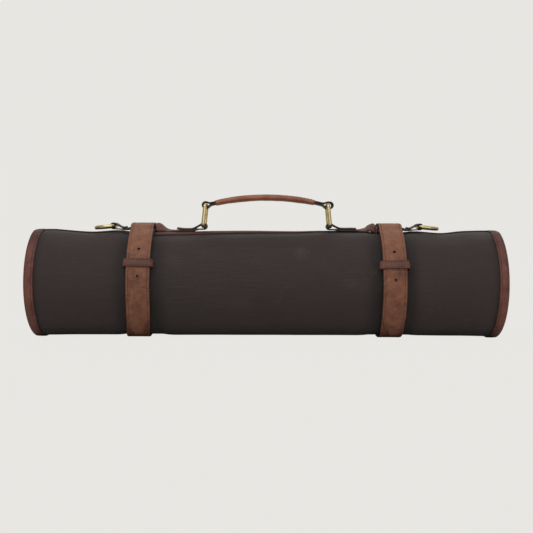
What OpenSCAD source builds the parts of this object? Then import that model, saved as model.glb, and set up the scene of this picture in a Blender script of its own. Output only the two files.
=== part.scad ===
// Carving tool roll: a long canvas sheet with sewn tool pockets, rolled up and
// held shut by two leather straps, with a leather carrying handle on top.
// +X runs along the roll, -Y is the front, +Z is up. The origin is at the
// bottom centre, on the ground under the straps. Sizes are in millimetres.
// Angles called phi turn round the roll's axis: 0 is the front, 90 the top,
// 180 the back and -90 the bottom.

/* [Rolled sheet] */
// Length of the roll, from end to end
roll_l = 500; // [460:10:540]
// Outside radius of the outer turn
roll_r = 57; // [56:0.5:57]
// Thickness of the waxed canvas
canvas_t = 2.2; // [2:0.1:2.3]
// Radial drop from the outer turn to the turn beneath it
jog = 6.4; // [6.2:0.1:7]
// Spacing from one inner turn to the next
pitch = 13; // [12:0.5:14]
// Turns that the sheet makes
turns = 2.95; // [2.4:0.05:3]
// Thickness of the leather edge binding
bind_t = 1.2; // [0.8:0.1:1.2]
// Width of the leather edge binding at the two ends
bind_w = 10; // [6:1:14]
// Width of the leather edge binding along the free edge
edge_w = 12; // [8:1:13]

/* [Straps] */
// Distance of each strap from the middle of the roll
strap_x = 132; // [125:1:140]
// Width of the straps
strap_w = 25; // [20:1:26]
// Thickness of the buckle strap, the lower layer
under_t = 2.2; // [1.8:0.1:2.2]
// Thickness of the tip strap, the upper layer
tail_t = 2.6; // [2:0.1:2.6]
// Angle at which the tip straps end, low on the front
tip_phi = -60; // [-62:1:-50]
// Angle of the left keeper loop
left_keeper_phi = 21.8; // [18:0.2:24]
// Angle of the right keeper loop
right_keeper_phi = 20.4; // [18:0.2:24]
// Height of the keeper loops along the strap
keeper_h = 9; // [7:0.5:12]
// Diameter of the punched holes
hole_d = 3; // [2:0.5:3.5]

/* [Handle and rings] */
// Half the distance between the lower bars of the handle rings
ring_x = 68.7; // [66:0.1:70]
// Inward lean of each handle ring, from its lower bar to its upper bar
ring_lean = 2.4; // [0:0.1:3]
// Height from the lower bar to the upper bar of a handle ring
ring_h = 23; // [20:0.5:26]
// Wire diameter of the handle rings
ring_d = 4; // [3:0.2:4]
// Wire diameter of the D-rings
dring_d = 4; // [3:0.2:4]
// Distance of each D-ring's bar from the middle of the roll
dring_x = 166; // [164:0.5:170]
// Width of the strips that hold the rings
strip_w = 20; // [16:1:20]
// Half length of the sewn grip
grip_hl = 53; // [45:1:53]
// Height of the grip's middle above the roll's axis
grip_z = 92.8; // [90:0.2:96]
// Thickness of the grip
grip_t = 6.2; // [6:0.1:8]
// Width of the grip
grip_w = 22; // [21:1:26]

/* [Hidden] */
$fn = 96;

// the roll's axis stands this high, so that the straps rest on a flat at z = 0
under_r = roll_r + 0.2;
axis_z = under_r + under_t - 0.4;
free_phi = 91.5;
step_a = 7.5;
sheet_end = turns * 360;
lining_t = 1.0;
panel_t = 1.0;
stack_t = canvas_t + 0.2 + lining_t + 0.2 + panel_t;
strip_t = 1.8;
tail_r = under_r + under_t + 0.2;
bump = 3.0;
hole_phi = [8.8, 5.7];
hole_step = [27.9, 28.4];
keeper_at = [left_keeper_phi, right_keeper_phi];
bar_phi = 140.6;
bar_r = 61.1;
free_bar_phi = 159.4;
free_bar_r = 61.9;
over_r = bar_r + 3.5;
grip_R = 258;
strip_z = roll_r + 0.3;
ring_eye_z = strip_z + strip_t + 0.3 + ring_d / 2;
dring_eye_z = strip_z + strip_t + 0.3 + dring_d / 2;
top_x = ring_x - ring_lean;
top_z = ring_eye_z + ring_h;

function ss(t) = t <= 0 ? 0 : t >= 1 ? 1 : t * t * (3 - 2 * t);
function pt(r, phi) = [-r * cos(phi), r * sin(phi)];
// radius of the sheet's outer face at an angle unrolled from its free edge
function sheet_r(a) =
    a < 15 ? roll_r - bind_t - 0.1
    : a < 30 ? roll_r - (bind_t + 0.1) * (1 - ss((a - 15) / 15))
    : a < 285 ? roll_r
    : a < 360 ? roll_r - jog * ss((a - 285) / 75)
    : roll_r - jog - pitch * (a - 360) / 360;
function fit_n(a1, a2) = ceil((a2 - a1) / step_a);
function band(o1, o2, a1, a2) =
    let (n = fit_n(a1, a2), d = (a2 - a1) / n)
    concat([for (i = [0:n]) pt(sheet_r(a1 + i * d) - o1, free_phi - a1 - i * d)],
           [for (i = [n:-1:0]) pt(sheet_r(a1 + i * d) - o2, free_phi - a1 - i * d)]);
// radius of the tip strap's inner face
function tail_in(p) =
    p >= 160 ? under_r
    : p >= 142 ? under_r + (over_r - under_r) * ss((160 - p) / 18)
    : p >= 138 ? over_r
    : p >= 118 ? tail_r + (over_r - tail_r) * (1 - ss((138 - p) / 20))
    : tail_r + bump * (1 - ss((abs(p - 90) - 12) / 12));
function tail_pts(p1, p2) =
    let (n = ceil((p1 - p2) / 3), d = (p1 - p2) / n)
    concat([for (i = [0:n]) pt(tail_in(p1 - i * d), p1 - i * d)],
           [for (i = [n:-1:0]) pt(tail_in(p1 - i * d) + tail_t, p1 - i * d)]);

// sets a profile drawn in (Y, Z) round the roll's axis and extrudes it along X
module along(x0, x1) {
    translate([x0, 0, axis_z]) rotate([90, 0, 90]) linear_extrude(x1 - x0) children();
}
// turns a profile drawn in (radius, X) round the roll's axis, from phi 1 to phi 2
module arc(p1, p2) {
    translate([0, 0, axis_z]) rotate([90, 0, 90]) rotate([0, 0, 180 - p2])
        rotate_extrude(angle = p2 - p1) children();
}
// puts things at a radius and phi, with local +Z pointing out of the roll,
// local +X along the roll and local +Y towards a higher phi
module at(r, phi) {
    translate([0, -r * cos(phi), axis_z + r * sin(phi)]) rotate([90 - phi, 0, 0]) children();
}
// a profile drawn in (X, Z above the axis), extruded along Y to a width
module upright(w) {
    translate([0, w / 2, axis_z]) rotate([90, 0, 0]) linear_extrude(w) children();
}

module sheet(o1, o2, a1, a2, x0, x1) {
    along(x0, x1) polygon(band(o1, o2, a1, a2));
}

module outer_canvas() {
    e = roll_l / 2 - bind_t - 0.1;
    color([0.235, 0.2, 0.19]) difference() {
        sheet(0, canvas_t, 0, sheet_end, -e, e);
        // the straps press the soft sheet in where the keepers slide
        for (s = [-1, 1]) arc(-62, 74)
            translate([roll_r - 1.2, s * strap_x - 17.5]) square([3, 35]);
        for (s = [-1, 1], p = [196, 211]) at(roll_r - 5, p)
            translate([s * strap_x, 0, -2]) cylinder(r = 1.6, h = 10);
    }
}

module lining() {
    e = roll_l / 2 - bind_t - 0.1;
    color([0.55, 0.47, 0.37]) sheet(canvas_t + 0.2, canvas_t + 0.2 + lining_t, 352, sheet_end, -e, e);
}

// the folded-up lower half of the sheet, sewn into tool pockets
module pocket_panel() {
    o = canvas_t + 0.4 + lining_t;
    e = roll_l / 2 - bind_t - 0.1;
    color([0.3, 0.25, 0.22]) sheet(o, o + panel_t, 380, sheet_end - 12, -e, 45);
}

// the flap that folds down over the tool tips before rolling
module tool_flap() {
    o = canvas_t + 0.4 + lining_t;
    e = roll_l / 2 - bind_t - 0.1;
    color([0.27, 0.23, 0.21]) sheet(o, o + panel_t, 380, sheet_end - 12, 75, e);
}

// total thickness of the layers that the end binding wraps
function wrap_t(a) = canvas_t + (stack_t - canvas_t) * ss((a - 338) / 14);
function wrap_band(g, a1, a2) =
    let (n = fit_n(a1, a2), d = (a2 - a1) / n)
    concat([for (i = [0:n]) pt(sheet_r(a1 + i * d) + g, free_phi - a1 - i * d)],
           [for (i = [n:-1:0]) pt(sheet_r(a1 + i * d) - wrap_t(a1 + i * d) - g, free_phi - a1 - i * d)]);

// leather folded over the sheet's side edge, all the way round the spiral
module end_binding(s) {
    x1 = roll_l / 2;
    x0 = x1 - bind_w;
    xi = x1 - bind_t;
    color([0.39, 0.25, 0.21]) mirror([s < 0 ? 1 : 0, 0, 0]) difference() {
        along(x0, x1) polygon(wrap_band(0.1 + bind_t, 0, sheet_end));
        along(x0 - 1, xi) polygon(wrap_band(0.1, -7.5, sheet_end + 7.5));
    }
}

// leather folded over the free edge that ends on top of the roll
module outer_edge_binding() {
    e = roll_l / 2 - bind_w - 0.3;
    w = edge_w / roll_r * 57.3;
    i = canvas_t + 0.3;
    color([0.36, 0.2, 0.17]) {
        sheet(-0.1 - bind_t, -0.1, 0.1, w, -e, e);
        sheet(i, i + bind_t, 0.1, w, -e, e);
        sheet(-0.1 - bind_t, i + bind_t, -1.2, 0.1 - 0.2, -e, e);
        sheet(-0.1 - bind_t, -0.1, -0.2, 0.2, -e, e);
        sheet(i, i + bind_t, -0.2, 0.2, -e, e);
    }
}

// leather folded over the sheet's inner end, in the middle of the roll
module inner_edge_binding() {
    e = roll_l / 2 - bind_w - 0.3;
    c = sheet_end;
    color([0.36, 0.2, 0.17]) {
        sheet(-0.1 - bind_t, -0.1, c - 20, c + 0.4, -e, e);
        sheet(canvas_t + lining_t + 0.3, canvas_t + lining_t + 0.3 + bind_t, c - 9, c + 0.4, -e, e);
        sheet(-0.1 - bind_t, canvas_t + lining_t + 0.3 + bind_t, c + 0.3, c + 3, -e, e);
    }
}

module buckle_strap(s) {
    x = s * strap_x;
    color([0.43, 0.28, 0.22]) difference() {
        union() {
            arc(-156, bar_phi) translate([under_r, x - strap_w / 2]) square([under_t, strap_w]);
            along(x - strap_w / 2, x + strap_w / 2) {
                // the end is folded round the buckle's bar
                translate(pt(bar_r, bar_phi)) circle(r = 3.3, $fn = 48);
                polygon([pt(64.2, 139.6), pt(61.1, 131), pt(59, 128), pt(59, 140), pt(61, 141)]);
            }
        }
        along(x - strap_w, x + strap_w) translate(pt(bar_r, bar_phi)) circle(r = 1.7, $fn = 48);
        // slot for the prong
        along(x - 2.1, x + 2.1) translate(pt(bar_r, bar_phi)) circle(r = 3.4, $fn = 48);
        // the strap lies flat where the roll rests on it
        translate([x - 30, -40, -20]) cube([60, 80, 20]);
        at(roll_r - 2, 211) translate([x, 0, -2]) cylinder(r = 1.6, h = 10);
    }
}

module tip_strap(s) {
    x = s * strap_x;
    i = s < 0 ? 0 : 1;
    color([0.45, 0.29, 0.23]) difference() {
        along(x - strap_w / 2, x + strap_w / 2) polygon(tail_pts(203, tip_phi));
        for (k = [0:1]) at(56, hole_phi[i] + k * hole_step[i]) translate([x, 0, 0])
            cylinder(d = hole_d, h = 14);
        // slot that the prong comes through
        at(56, 149.4) translate([x - 1.8, -7.4, 0]) cube([3.6, 14.8, 14]);
        at(roll_r - 2, 196) translate([x, 0, -2]) cylinder(r = 1.6, h = 10);
        // the pointed end
        for (m = [-1, 1], c = [[4, 16], [2, 48]]) at(50, tip_phi) translate([x + m * c[0], 0, -20])
            rotate([0, 0, -m * c[1]]) translate([m < 0 ? -30 : 0, -16, 0]) cube([30, 60, 40]);
    }
}

module keeper(s) {
    x = s * strap_x;
    half = keeper_h / 2 / (tail_r + tail_t) * 57.3;
    ri = roll_r - 0.9;
    ro = tail_r + tail_t + 0.3 + 1.8;
    k = keeper_at[s < 0 ? 0 : 1];
    color([0.4, 0.27, 0.23]) arc(k - half, k + half) difference() {
        translate([ri, x - 15.8]) square([ro - ri, 31.6]);
        translate([ri + 0.8, x - 13.4]) square([ro - ri - 2.6, 26.8]);
    }
}

module buckle_frame(s) {
    a = pt(bar_r, bar_phi);
    b = pt(free_bar_r, free_bar_phi);
    ang = atan2(b[1] - a[1], b[0] - a[0]);
    color([0.72, 0.65, 0.45]) translate([s * strap_x, a[0], axis_z + a[1]])
        rotate([ang - 90, 0, 0]) rotate([0, 0, 90]) wire_ring(norm(b - a), 15.5, 2.5, 3);
}

module buckle_prong(s) {
    x = s * strap_x;
    a = pt(bar_r + 2.45, bar_phi + 1.2);
    b = pt(free_bar_r + 2.9, free_bar_phi + 1.6);
    len = norm(b - a);
    ang = atan2(b[1] - a[1], b[0] - a[0]);
    color([0.72, 0.65, 0.45]) difference() {
        union() {
            translate([x, a[0], axis_z + a[1]]) rotate([ang, 0, 0]) rotate([-90, 0, 0])
                cylinder(r = 1.1, h = len, $fn = 32);
            translate([x, b[0], axis_z + b[1]]) sphere(r = 1.1, $fn = 32);
            along(x - 1.7, x + 1.7) translate(pt(bar_r, bar_phi)) circle(r = 2.9, $fn = 48);
        }
        along(x - 5, x + 5) translate(pt(bar_r, bar_phi)) circle(r = 1.65, $fn = 48);
    }
}

// profile of a strip's end, folded round a ring's bar and sewn down on itself
module eye_out(r, top, run) {
    circle(r = r + strip_t, $fn = 64);
    polygon([[0, -r - strip_t], [run, -r - strip_t], [run, top], [run * 0.5, top],
             [(r + strip_t) * 0.33, (r + strip_t) * 0.944], [0, r]]);
}
module eye_in(r, tip) {
    circle(r = r, $fn = 64);
    polygon([[0, -r], [tip, -r], [r * 0.33, r * 0.944], [0, 0]]);
}

module mount_strip(s) {
    z0 = strip_z;
    t = strip_t;
    sx0 = strap_x - strap_w / 2;
    sx1 = strap_x + strap_w / 2;
    up = under_r + under_t + 0.3;
    ri = ring_d / 2 + 0.3;
    rd = dring_d / 2 + 0.3;
    color([0.2, 0.14, 0.12]) mirror([s < 0 ? 1 : 0, 0, 0]) upright(strip_w) difference() {
        union() {
            // it humps up against the strap's inner edge before it goes in between the strap's layers
            polygon([[ring_x, z0], [sx0 - 13, z0], [sx0 - 4.4, up + 2.6], [sx0 - 2.2, up + 2.8], [sx0 - 2.2, up],
                     [sx1 + 1, up], [sx1 + 6.5, z0], [dring_x, z0],
                     [dring_x, z0 + t], [sx1 + 6.9, z0 + t], [sx1 + 1.4, up + t], [sx0 - 0.4, up + t],
                     [sx0 - 0.4, up + 3.6], [sx0 - 1.4, up + 4.6], [sx0 - 5, up + 4.4],
                     [sx0 - 13.5, z0 + t], [ring_x, z0 + t]]);
            translate([ring_x, ring_eye_z]) eye_out(ri, t - ri, 27);
            translate([dring_x, dring_eye_z]) mirror([1, 0]) eye_out(rd, t - rd, 14);
        }
        translate([ring_x, ring_eye_z]) eye_in(ri, 12.5);
        translate([dring_x, dring_eye_z]) mirror([1, 0]) eye_in(rd, 7.5);
    }
}

// a bent wire corner, from local +X to local +Y
module corner(R, d) {
    translate([-R, -R, 0]) rotate_extrude(angle = 90) translate([R, 0]) circle(d = d, $fn = 32);
}

// closed wire ring, lower bar on the origin, bars along Y
module wire_ring(h, hw, R, d) {
    rotate([90, 0, 90]) {
        for (v = [0, h]) translate([-(hw - R), v, 0]) rotate([0, 90, 0]) cylinder(d = d, h = 2 * (hw - R), $fn = 32);
        for (m = [-1, 1]) translate([m * hw, R, 0]) rotate([-90, 0, 0]) cylinder(d = d, h = h - 2 * R, $fn = 32);
        translate([hw, h, 0]) corner(R, d);
        translate([-hw, h, 0]) rotate([0, 0, 90]) corner(R, d);
        translate([-hw, 0, 0]) rotate([0, 0, 180]) corner(R, d);
        translate([hw, 0, 0]) rotate([0, 0, 270]) corner(R, d);
    }
}

module handle_ring(s) {
    len = sqrt(ring_h * ring_h + ring_lean * ring_lean);
    color([0.75, 0.68, 0.48]) translate([s * ring_x, 0, axis_z + ring_eye_z])
        rotate([0, -s * asin(ring_lean / len), 0]) wire_ring(len, 13.5, 3.5, ring_d);
}

// straight bar with two short sides and a round bow, lying outwards
module d_ring(s) {
    hw = 12.2;
    side = 8;
    R = 3;
    // the bow droops until it rests on the canvas
    drop = dring_eye_z - (roll_r + dring_d / 2 + 0.35);
    color([0.75, 0.68, 0.48]) translate([s * dring_x, 0, axis_z + dring_eye_z]) mirror([s < 0 ? 1 : 0, 0, 0])
        rotate([0, asin(drop / (side + hw)), 0]) {
            translate([0, -(hw - R), 0]) rotate([-90, 0, 0]) cylinder(d = dring_d, h = 2 * (hw - R), $fn = 32);
            for (m = [-1, 1]) translate([R, m * hw, 0]) rotate([0, 90, 0]) cylinder(d = dring_d, h = side - R, $fn = 32);
            translate([0, hw, 0]) rotate([0, 0, 90]) corner(R, dring_d);
            translate([0, -hw, 0]) rotate([0, 0, 180]) corner(R, dring_d);
            translate([side, 0, 0]) rotate([0, 0, -90]) rotate_extrude(angle = 180)
                translate([hw, 0]) circle(d = dring_d, $fn = 32);
        }
}

// dark leather core, folded round the upper bars of both rings
module handle_strap() {
    ri = ring_d / 2 + 0.3;
    ro = ri + strip_t;
    ang = asin(54.5 / grip_R);
    slope = atan2(grip_z - grip_R + sqrt(grip_R * grip_R - 54.5 * 54.5) - top_z, 54.5 - top_x);
    // the right loop is slack, so that the ring's bar can move out level as the handle swings
    play = 1.9;
    out = [play * cos(slope), -play * sin(slope)];
    color([0.22, 0.15, 0.13]) {
        translate([0, 0, axis_z + grip_z - grip_R]) rotate([90, 0, 0]) rotate([0, 0, 90 - ang])
            rotate_extrude(angle = 2 * ang) translate([grip_R - 1.9, -9]) square([3.8, 18]);
        for (s = [-1, 1]) mirror([s < 0 ? 1 : 0, 0, 0]) upright(18) translate([top_x, top_z])
            rotate([0, 0, slope]) difference() {
                union() {
                    circle(r = ro, $fn = 64);
                    polygon([[0, ro], [0, -ro], [12.4, -1.9], [12.4, 1.9]]);
                    if (s > 0) {
                        translate(out) circle(r = ro, $fn = 64);
                        rotate([0, 0, -slope]) translate([0, 0.04 - ro]) square([play, 2 * (ro - 0.04)]);
                    }
                }
                circle(r = ri, $fn = 64);
                polygon([[0, ri], [0, -ri], [7, 0]]);
                if (s > 0) {
                    translate(out) circle(r = ri, $fn = 64);
                    rotate([0, 0, -slope]) translate([0, 0.04 - ri]) square([play, 2 * (ri - 0.04)]);
                }
            }
    }
}

module grip_section(hw, ht) {
    square([2 * ht, 2 * (hw - ht)], center = true);
    for (m = [-1, 1]) translate([0, m * (hw - ht)]) circle(r = ht, $fn = 48);
}

// tan leather rolled round the core and sewn
module handle_grip() {
    ang = asin(grip_hl / grip_R);
    color([0.54, 0.36, 0.28]) translate([0, 0, axis_z + grip_z - grip_R]) rotate([90, 0, 0])
        rotate([0, 0, 90 - ang]) rotate_extrude(angle = 2 * ang, $fn = 200) translate([grip_R, 0]) difference() {
            grip_section(grip_w / 2, grip_t / 2);
            square([4.1, 18.4], center = true);
        }
}

// rivets that hold the straps' sewn ends to the sheet, low on the back
module strap_rivets() {
    color([0.6, 0.54, 0.38]) for (s = [-1, 1], p = [196, 211]) {
        r2 = p == 196 ? under_r + tail_t : under_r + under_t;
        at(0, p) translate([s * strap_x, 0, 0]) {
            translate([0, 0, roll_r - canvas_t - 1.0]) cylinder(r = 1.5, h = r2 - roll_r + canvas_t + 1.4, $fn = 32);
            translate([0, 0, r2 + 0.1]) cylinder(r = 4.2, h = 1.1, $fn = 48);
            translate([0, 0, roll_r - canvas_t - 1.0]) cylinder(r = 4, h = 0.8, $fn = 48);
        }
    }
}

outer_canvas();
lining();
pocket_panel();
tool_flap();
end_binding(-1);  // left_end_binding
end_binding(1);  // right_end_binding
outer_edge_binding();
inner_edge_binding();
buckle_strap(-1);  // left_buckle_strap
buckle_strap(1);  // right_buckle_strap
tip_strap(-1);  // left_tip_strap
tip_strap(1);  // right_tip_strap
keeper(-1);  // left_keeper
keeper(1);  // right_keeper
buckle_frame(-1);  // left_buckle_frame
buckle_frame(1);  // right_buckle_frame
buckle_prong(-1);  // left_buckle_prong
buckle_prong(1);  // right_buckle_prong
mount_strip(-1);  // left_mount_strip
mount_strip(1);  // right_mount_strip
d_ring(-1);  // left_d_ring
d_ring(1);  // right_d_ring
handle_ring(-1);  // left_handle_ring
handle_ring(1);  // right_handle_ring
handle_strap();
handle_grip();
strap_rivets();
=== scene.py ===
import bpy
import bmesh
import math
import numpy as np
from mathutils import Vector, Matrix


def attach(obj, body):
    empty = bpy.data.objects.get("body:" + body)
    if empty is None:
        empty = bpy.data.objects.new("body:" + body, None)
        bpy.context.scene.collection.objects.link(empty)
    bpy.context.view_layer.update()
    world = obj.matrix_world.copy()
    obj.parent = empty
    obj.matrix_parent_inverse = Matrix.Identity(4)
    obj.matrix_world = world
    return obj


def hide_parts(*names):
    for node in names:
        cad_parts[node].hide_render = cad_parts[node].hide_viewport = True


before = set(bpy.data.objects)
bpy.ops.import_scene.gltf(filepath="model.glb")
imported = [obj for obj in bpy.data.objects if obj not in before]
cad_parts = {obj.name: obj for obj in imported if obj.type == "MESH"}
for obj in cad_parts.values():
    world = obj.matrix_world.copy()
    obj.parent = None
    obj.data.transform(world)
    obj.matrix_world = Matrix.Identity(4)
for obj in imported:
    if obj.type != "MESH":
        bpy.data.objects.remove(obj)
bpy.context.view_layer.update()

# ------------------------------------------------------------------ sizes, in millimetres, as in the frame
R = 57.0
AZ = 59.0
L2 = 250.0
CT = 2.2
JOG, PITCH = 6.4, 13.0
END = 2.95 * 360
FREE = 91.5
BT, BW = 1.2, 10.0
STACK = 4.6
SX = 132.0
UR, UT, TR, TT = 57.2, 2.2, 59.6, 2.6
BAR_PHI, BAR_R = 140.6, 61.1
FB_PHI, FB_R = 159.4, 61.9
TIP = -60.0
KEEPER = {-1: 21.8, 1: 20.4}
MM = 0.001


def ss(t):
    t = np.clip(t, 0, 1)
    return t * t * (3 - 2 * t)


def bell(x, c, w):
    return np.exp(-(((x - c) / w) ** 2))


def wob(x, y, seed, n=5, fx=0.02, fy=0.05):
    """Smooth repeatable unevenness from a few waves, about -1 to 1."""
    g = np.random.RandomState(seed)
    out = 0
    for _ in range(n):
        a, b, p, k = g.uniform(0.3, 1, 4)
        s = g.choice([-1, 1])
        out = out + k * np.sin(2 * math.pi * (a * fx * x + s * b * fy * y) + p * 40)
    return out / (0.65 * n)


def pol(r, phi):
    """(y, z) at radius r and phi: 0 front, 90 top, 180 back."""
    p = np.radians(phi)
    return -r * np.cos(p), AZ + r * np.sin(p)


def sheet_r(a):
    a = np.asarray(a, float)
    return np.where(
        a < 30,
        R - (BT + 0.1) * (1 - ss((a - 15) / 15)),
        np.where(a < 285, R, np.where(a < 360, R - JOG * ss((a - 285) / 75), R - JOG - PITCH * (a - 360) / 360)),
    )


def wrap_t(a):
    return CT + (STACK - CT) * ss((np.asarray(a, float) - 338) / 14)


SKEW = np.array([(-250, 8), (-200, 6), (-187, 3), (-172, 1), (-154, 0), (-145, -3), (-123, -9.4), (-94, -9), (-67, -7),
                 (-7, -2.9), (37, 0.2), (61, 4), (100, 5.1), (122, 5.1), (250, 7)], float)
TOP = np.array([(-250, 0.9), (-237, 1.0), (-213, -0.4), (-198, -1.5), (-189, -2.0), (-178, -1.1), (-166, 0.1), (-150, 0.1), (-115, -0.9), (-100, -0.6), (-75, -0.4),
                (-58, 0.0), (-10, -0.2), (37, -0.9), (61, -0.1), (100, -0.1), (150, 0.1), (166, 0.1), (178, -1.0), (191, -2.0), (203, -0.4),
                (212, 0.7), (250, 0.8)], float)


def curve(x, knots, soften=5.0):
    """Value along the roll, with the corners taken off."""
    out = 0
    for d, w in ((-1.5, 0.13), (-0.75, 0.22), (0, 0.3), (0.75, 0.22), (1.5, 0.13)):
        out = out + w * np.interp(np.asarray(x, float) + d * soften, knots[:, 0], knots[:, 1])
    return out


def phi_of(x, a):
    """Angle of a point of the sheet. The free edge isn't parallel to the roll's axis."""
    return FREE - a + curve(x, SKEW) * (1 - ss((np.asarray(a, float) - 20) / 150))


def soft(x, a):
    """How far the outer turn stands off its plain cylinder: slack, dents and the straps' bite."""
    phi = phi_of(x, a)
    d = np.abs(np.abs(x) - SX)
    outer = 1 - ss((a - 285) / 60)
    top = bell(phi, 84, 30)
    front = bell(phi, 5, 55)
    out = 0.42 * wob(x, a * 0.995, 3, 6, 0.006, 0.006) + 0.16 * wob(x, a, 9, 6, 0.018, 0.02)
    out = out - 0.35
    out = out + 0.45 * ss((np.abs(x) - 205) / 35)
    # small creases that run out from under the straps
    side = np.exp(-(((d - 24) / 12) ** 2))
    out = out + side * 0.3 * np.sin(np.radians(phi) * 9 + np.sign(x) * 1.3 + x * 0.02) * (0.4 + 0.6 * front)
    # the line of the top, end to end
    out = out + bell(phi, 88, 34) * (curve(x, TOP) + 0.2)
    # slack hangs down at the bottom, between the straps and the ground
    bottom = bell(phi, -90, 26) + bell(phi, -90 - 360, 26)
    out = out + bottom * (0.75 - 0.35 * wob(x, a, 5, 4, 0.01, 0.01)) * ss((d - 16) / 18)
    # flat where the strips and rings lie on it
    flat = bell(phi, 90, 15) * (1 - ss((np.abs(x) - 192) / 12)) * ss((np.abs(x) - 52) / 8)
    out = out - flat * np.maximum(out, -0.05)
    # bite of the straps
    bite = 1 - ss((d - 17.6) / 9)
    out = out * (1 - bite) - (1.2 - 0.7 * np.minimum(bottom, 1)) * bite
    out = np.minimum(out, 1.0)
    return out * outer


# ------------------------------------------------------------------ mesh making
def collect():
    return {"v": [], "f": [], "uv": [], "wear_and_shade": []}


def add(part, verts, quads, uvs, wear_and_shade):
    """verts (n,3) in mm, quads (m,4) or list, uvs (m*4,2) in metres, wear (n,)"""
    base = sum(len(v) for v in part["v"])
    part["v"].append(np.asarray(verts, float))
    part["f"].append(np.asarray(quads, int) + base)
    part["uv"].append(np.asarray(uvs, float).reshape(-1, 2))
    part["wear_and_shade"].append(np.broadcast_to(np.asarray(wear_and_shade, float), (len(verts),)).copy())


def grid_faces(nu, nv, closed_v=False, closed_u=False):
    iu = np.arange(nu if closed_u else nu - 1)
    iv = np.arange(nv if closed_v else nv - 1)
    I, J = np.meshgrid(iu, iv, indexing="ij")
    I, J = I.ravel(), J.ravel()
    I2, J2 = (I + 1) % nu, (J + 1) % nv
    q = np.stack([I * nv + J, I2 * nv + J, I2 * nv + J2, I * nv + J2], 1)
    return q, I, J


def add_grid(part, P, U, V, wear_and_shade=0.0, closed_v=False, closed_u=False, flip=False):
    """P (nu,nv,3); U has nu (+1 if closed) values, V has nv (+1 if closed)."""
    nu, nv = P.shape[:2]
    q, I, J = grid_faces(nu, nv, closed_v, closed_u)
    U, V = np.asarray(U, float), np.asarray(V, float)
    if U.ndim == 1:
        uv = np.stack([np.stack([U[I], V[J]], 1), np.stack([U[I + 1], V[J]], 1),
                       np.stack([U[I + 1], V[J + 1]], 1), np.stack([U[I], V[J + 1]], 1)], 1)
    if flip:
        q = q[:, ::-1]
        uv = uv[:, ::-1]
    w = np.broadcast_to(np.asarray(wear_and_shade, float), (nu, nv)).ravel()
    add(part, P.reshape(-1, 3), q, uv.reshape(-1, 2), w)


def finish_mesh(part, name, body, mat, replaces=(), smooth=True, weld=0.0, sharp=None):
    verts = np.concatenate(part["v"]) * MM
    faces = np.concatenate(part["f"])
    uvs = np.concatenate(part["uv"])
    wear_and_shade = np.concatenate(part["wear_and_shade"])
    me = bpy.data.meshes.new(name)
    me.from_pydata(verts.tolist(), [], faces.tolist())
    layer = me.uv_layers.new(name="UVMap")
    layer.data.foreach_set("uv", uvs.astype(np.float32).ravel())
    at = me.attributes.new("wear_and_shade", "FLOAT", "POINT")
    at.data.foreach_set("value", wear_and_shade.astype(np.float32))
    if weld:
        bm = bmesh.new()
        bm.from_mesh(me)
        bmesh.ops.remove_doubles(bm, verts=bm.verts, dist=weld * MM)
        bmesh.ops.dissolve_degenerate(bm, edges=bm.edges, dist=1e-7)
        bmesh.ops.recalc_face_normals(bm, faces=bm.faces)
        bm.to_mesh(me)
        bm.free()
    me.polygons.foreach_set("use_smooth", [smooth] * len(me.polygons))
    if sharp:
        me.set_sharp_from_angle(angle=math.radians(sharp))
    me.validate()
    me.update()
    o = bpy.data.objects.new(name, me)
    bpy.context.scene.collection.objects.link(o)
    me.materials.append(mat)
    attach(o, body)
    if replaces:
        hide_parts(*replaces)
    return o


def shell(part, xs, aa, ro, ri, wear_and_shade_o=0.0, wear_i=0.0):
    """A solid sheet round the spiral: ro and ri are (nx,na) radii of its outer and inner faces."""
    X = np.broadcast_to(xs[:, None], ro.shape)
    ph = phi_of(X, aa[None, :])
    def pts(rr):
        y, z = pol(rr, ph)
        return np.stack([X, y, z], 2)
    Po, Pi = pts(ro), pts(ri)
    s = np.concatenate([[0], np.cumsum(np.radians(np.diff(aa)) * 0.5 * (sheet_r(aa[1:]) + sheet_r(aa[:-1])))])
    nx, na = ro.shape
    # one closed band: outer face, then inner face back
    P = np.concatenate([Po, Pi[:, ::-1]], 1)
    V = np.concatenate([s, s[::-1], [0]]) * MM
    w = np.concatenate([np.broadcast_to(wear_and_shade_o, (nx, na)), np.broadcast_to(wear_i, (nx, na))[:, ::-1]], 1)
    add_grid(part, P, xs * MM, V, w, closed_v=True)
    base = sum(len(v) for v in part["v"]) - nx * 2 * na
    j = np.arange(na - 1)
    for i, turn in ((0, False), (nx - 1, True)):
        o = base + i * 2 * na
        q = np.stack([o + j, o + j + 1, o + 2 * na - 2 - j, o + 2 * na - 1 - j], 1)
        if turn:
            q = q[:, ::-1]
        uv = np.zeros((len(q), 4, 2))
        uv[:, :, 1] = (s[:-1] * MM)[:, None]
        uv[:, 1:3, 0] = 0.002
        part["f"].append(q)
        part["uv"].append(uv.reshape(-1, 2))


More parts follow.
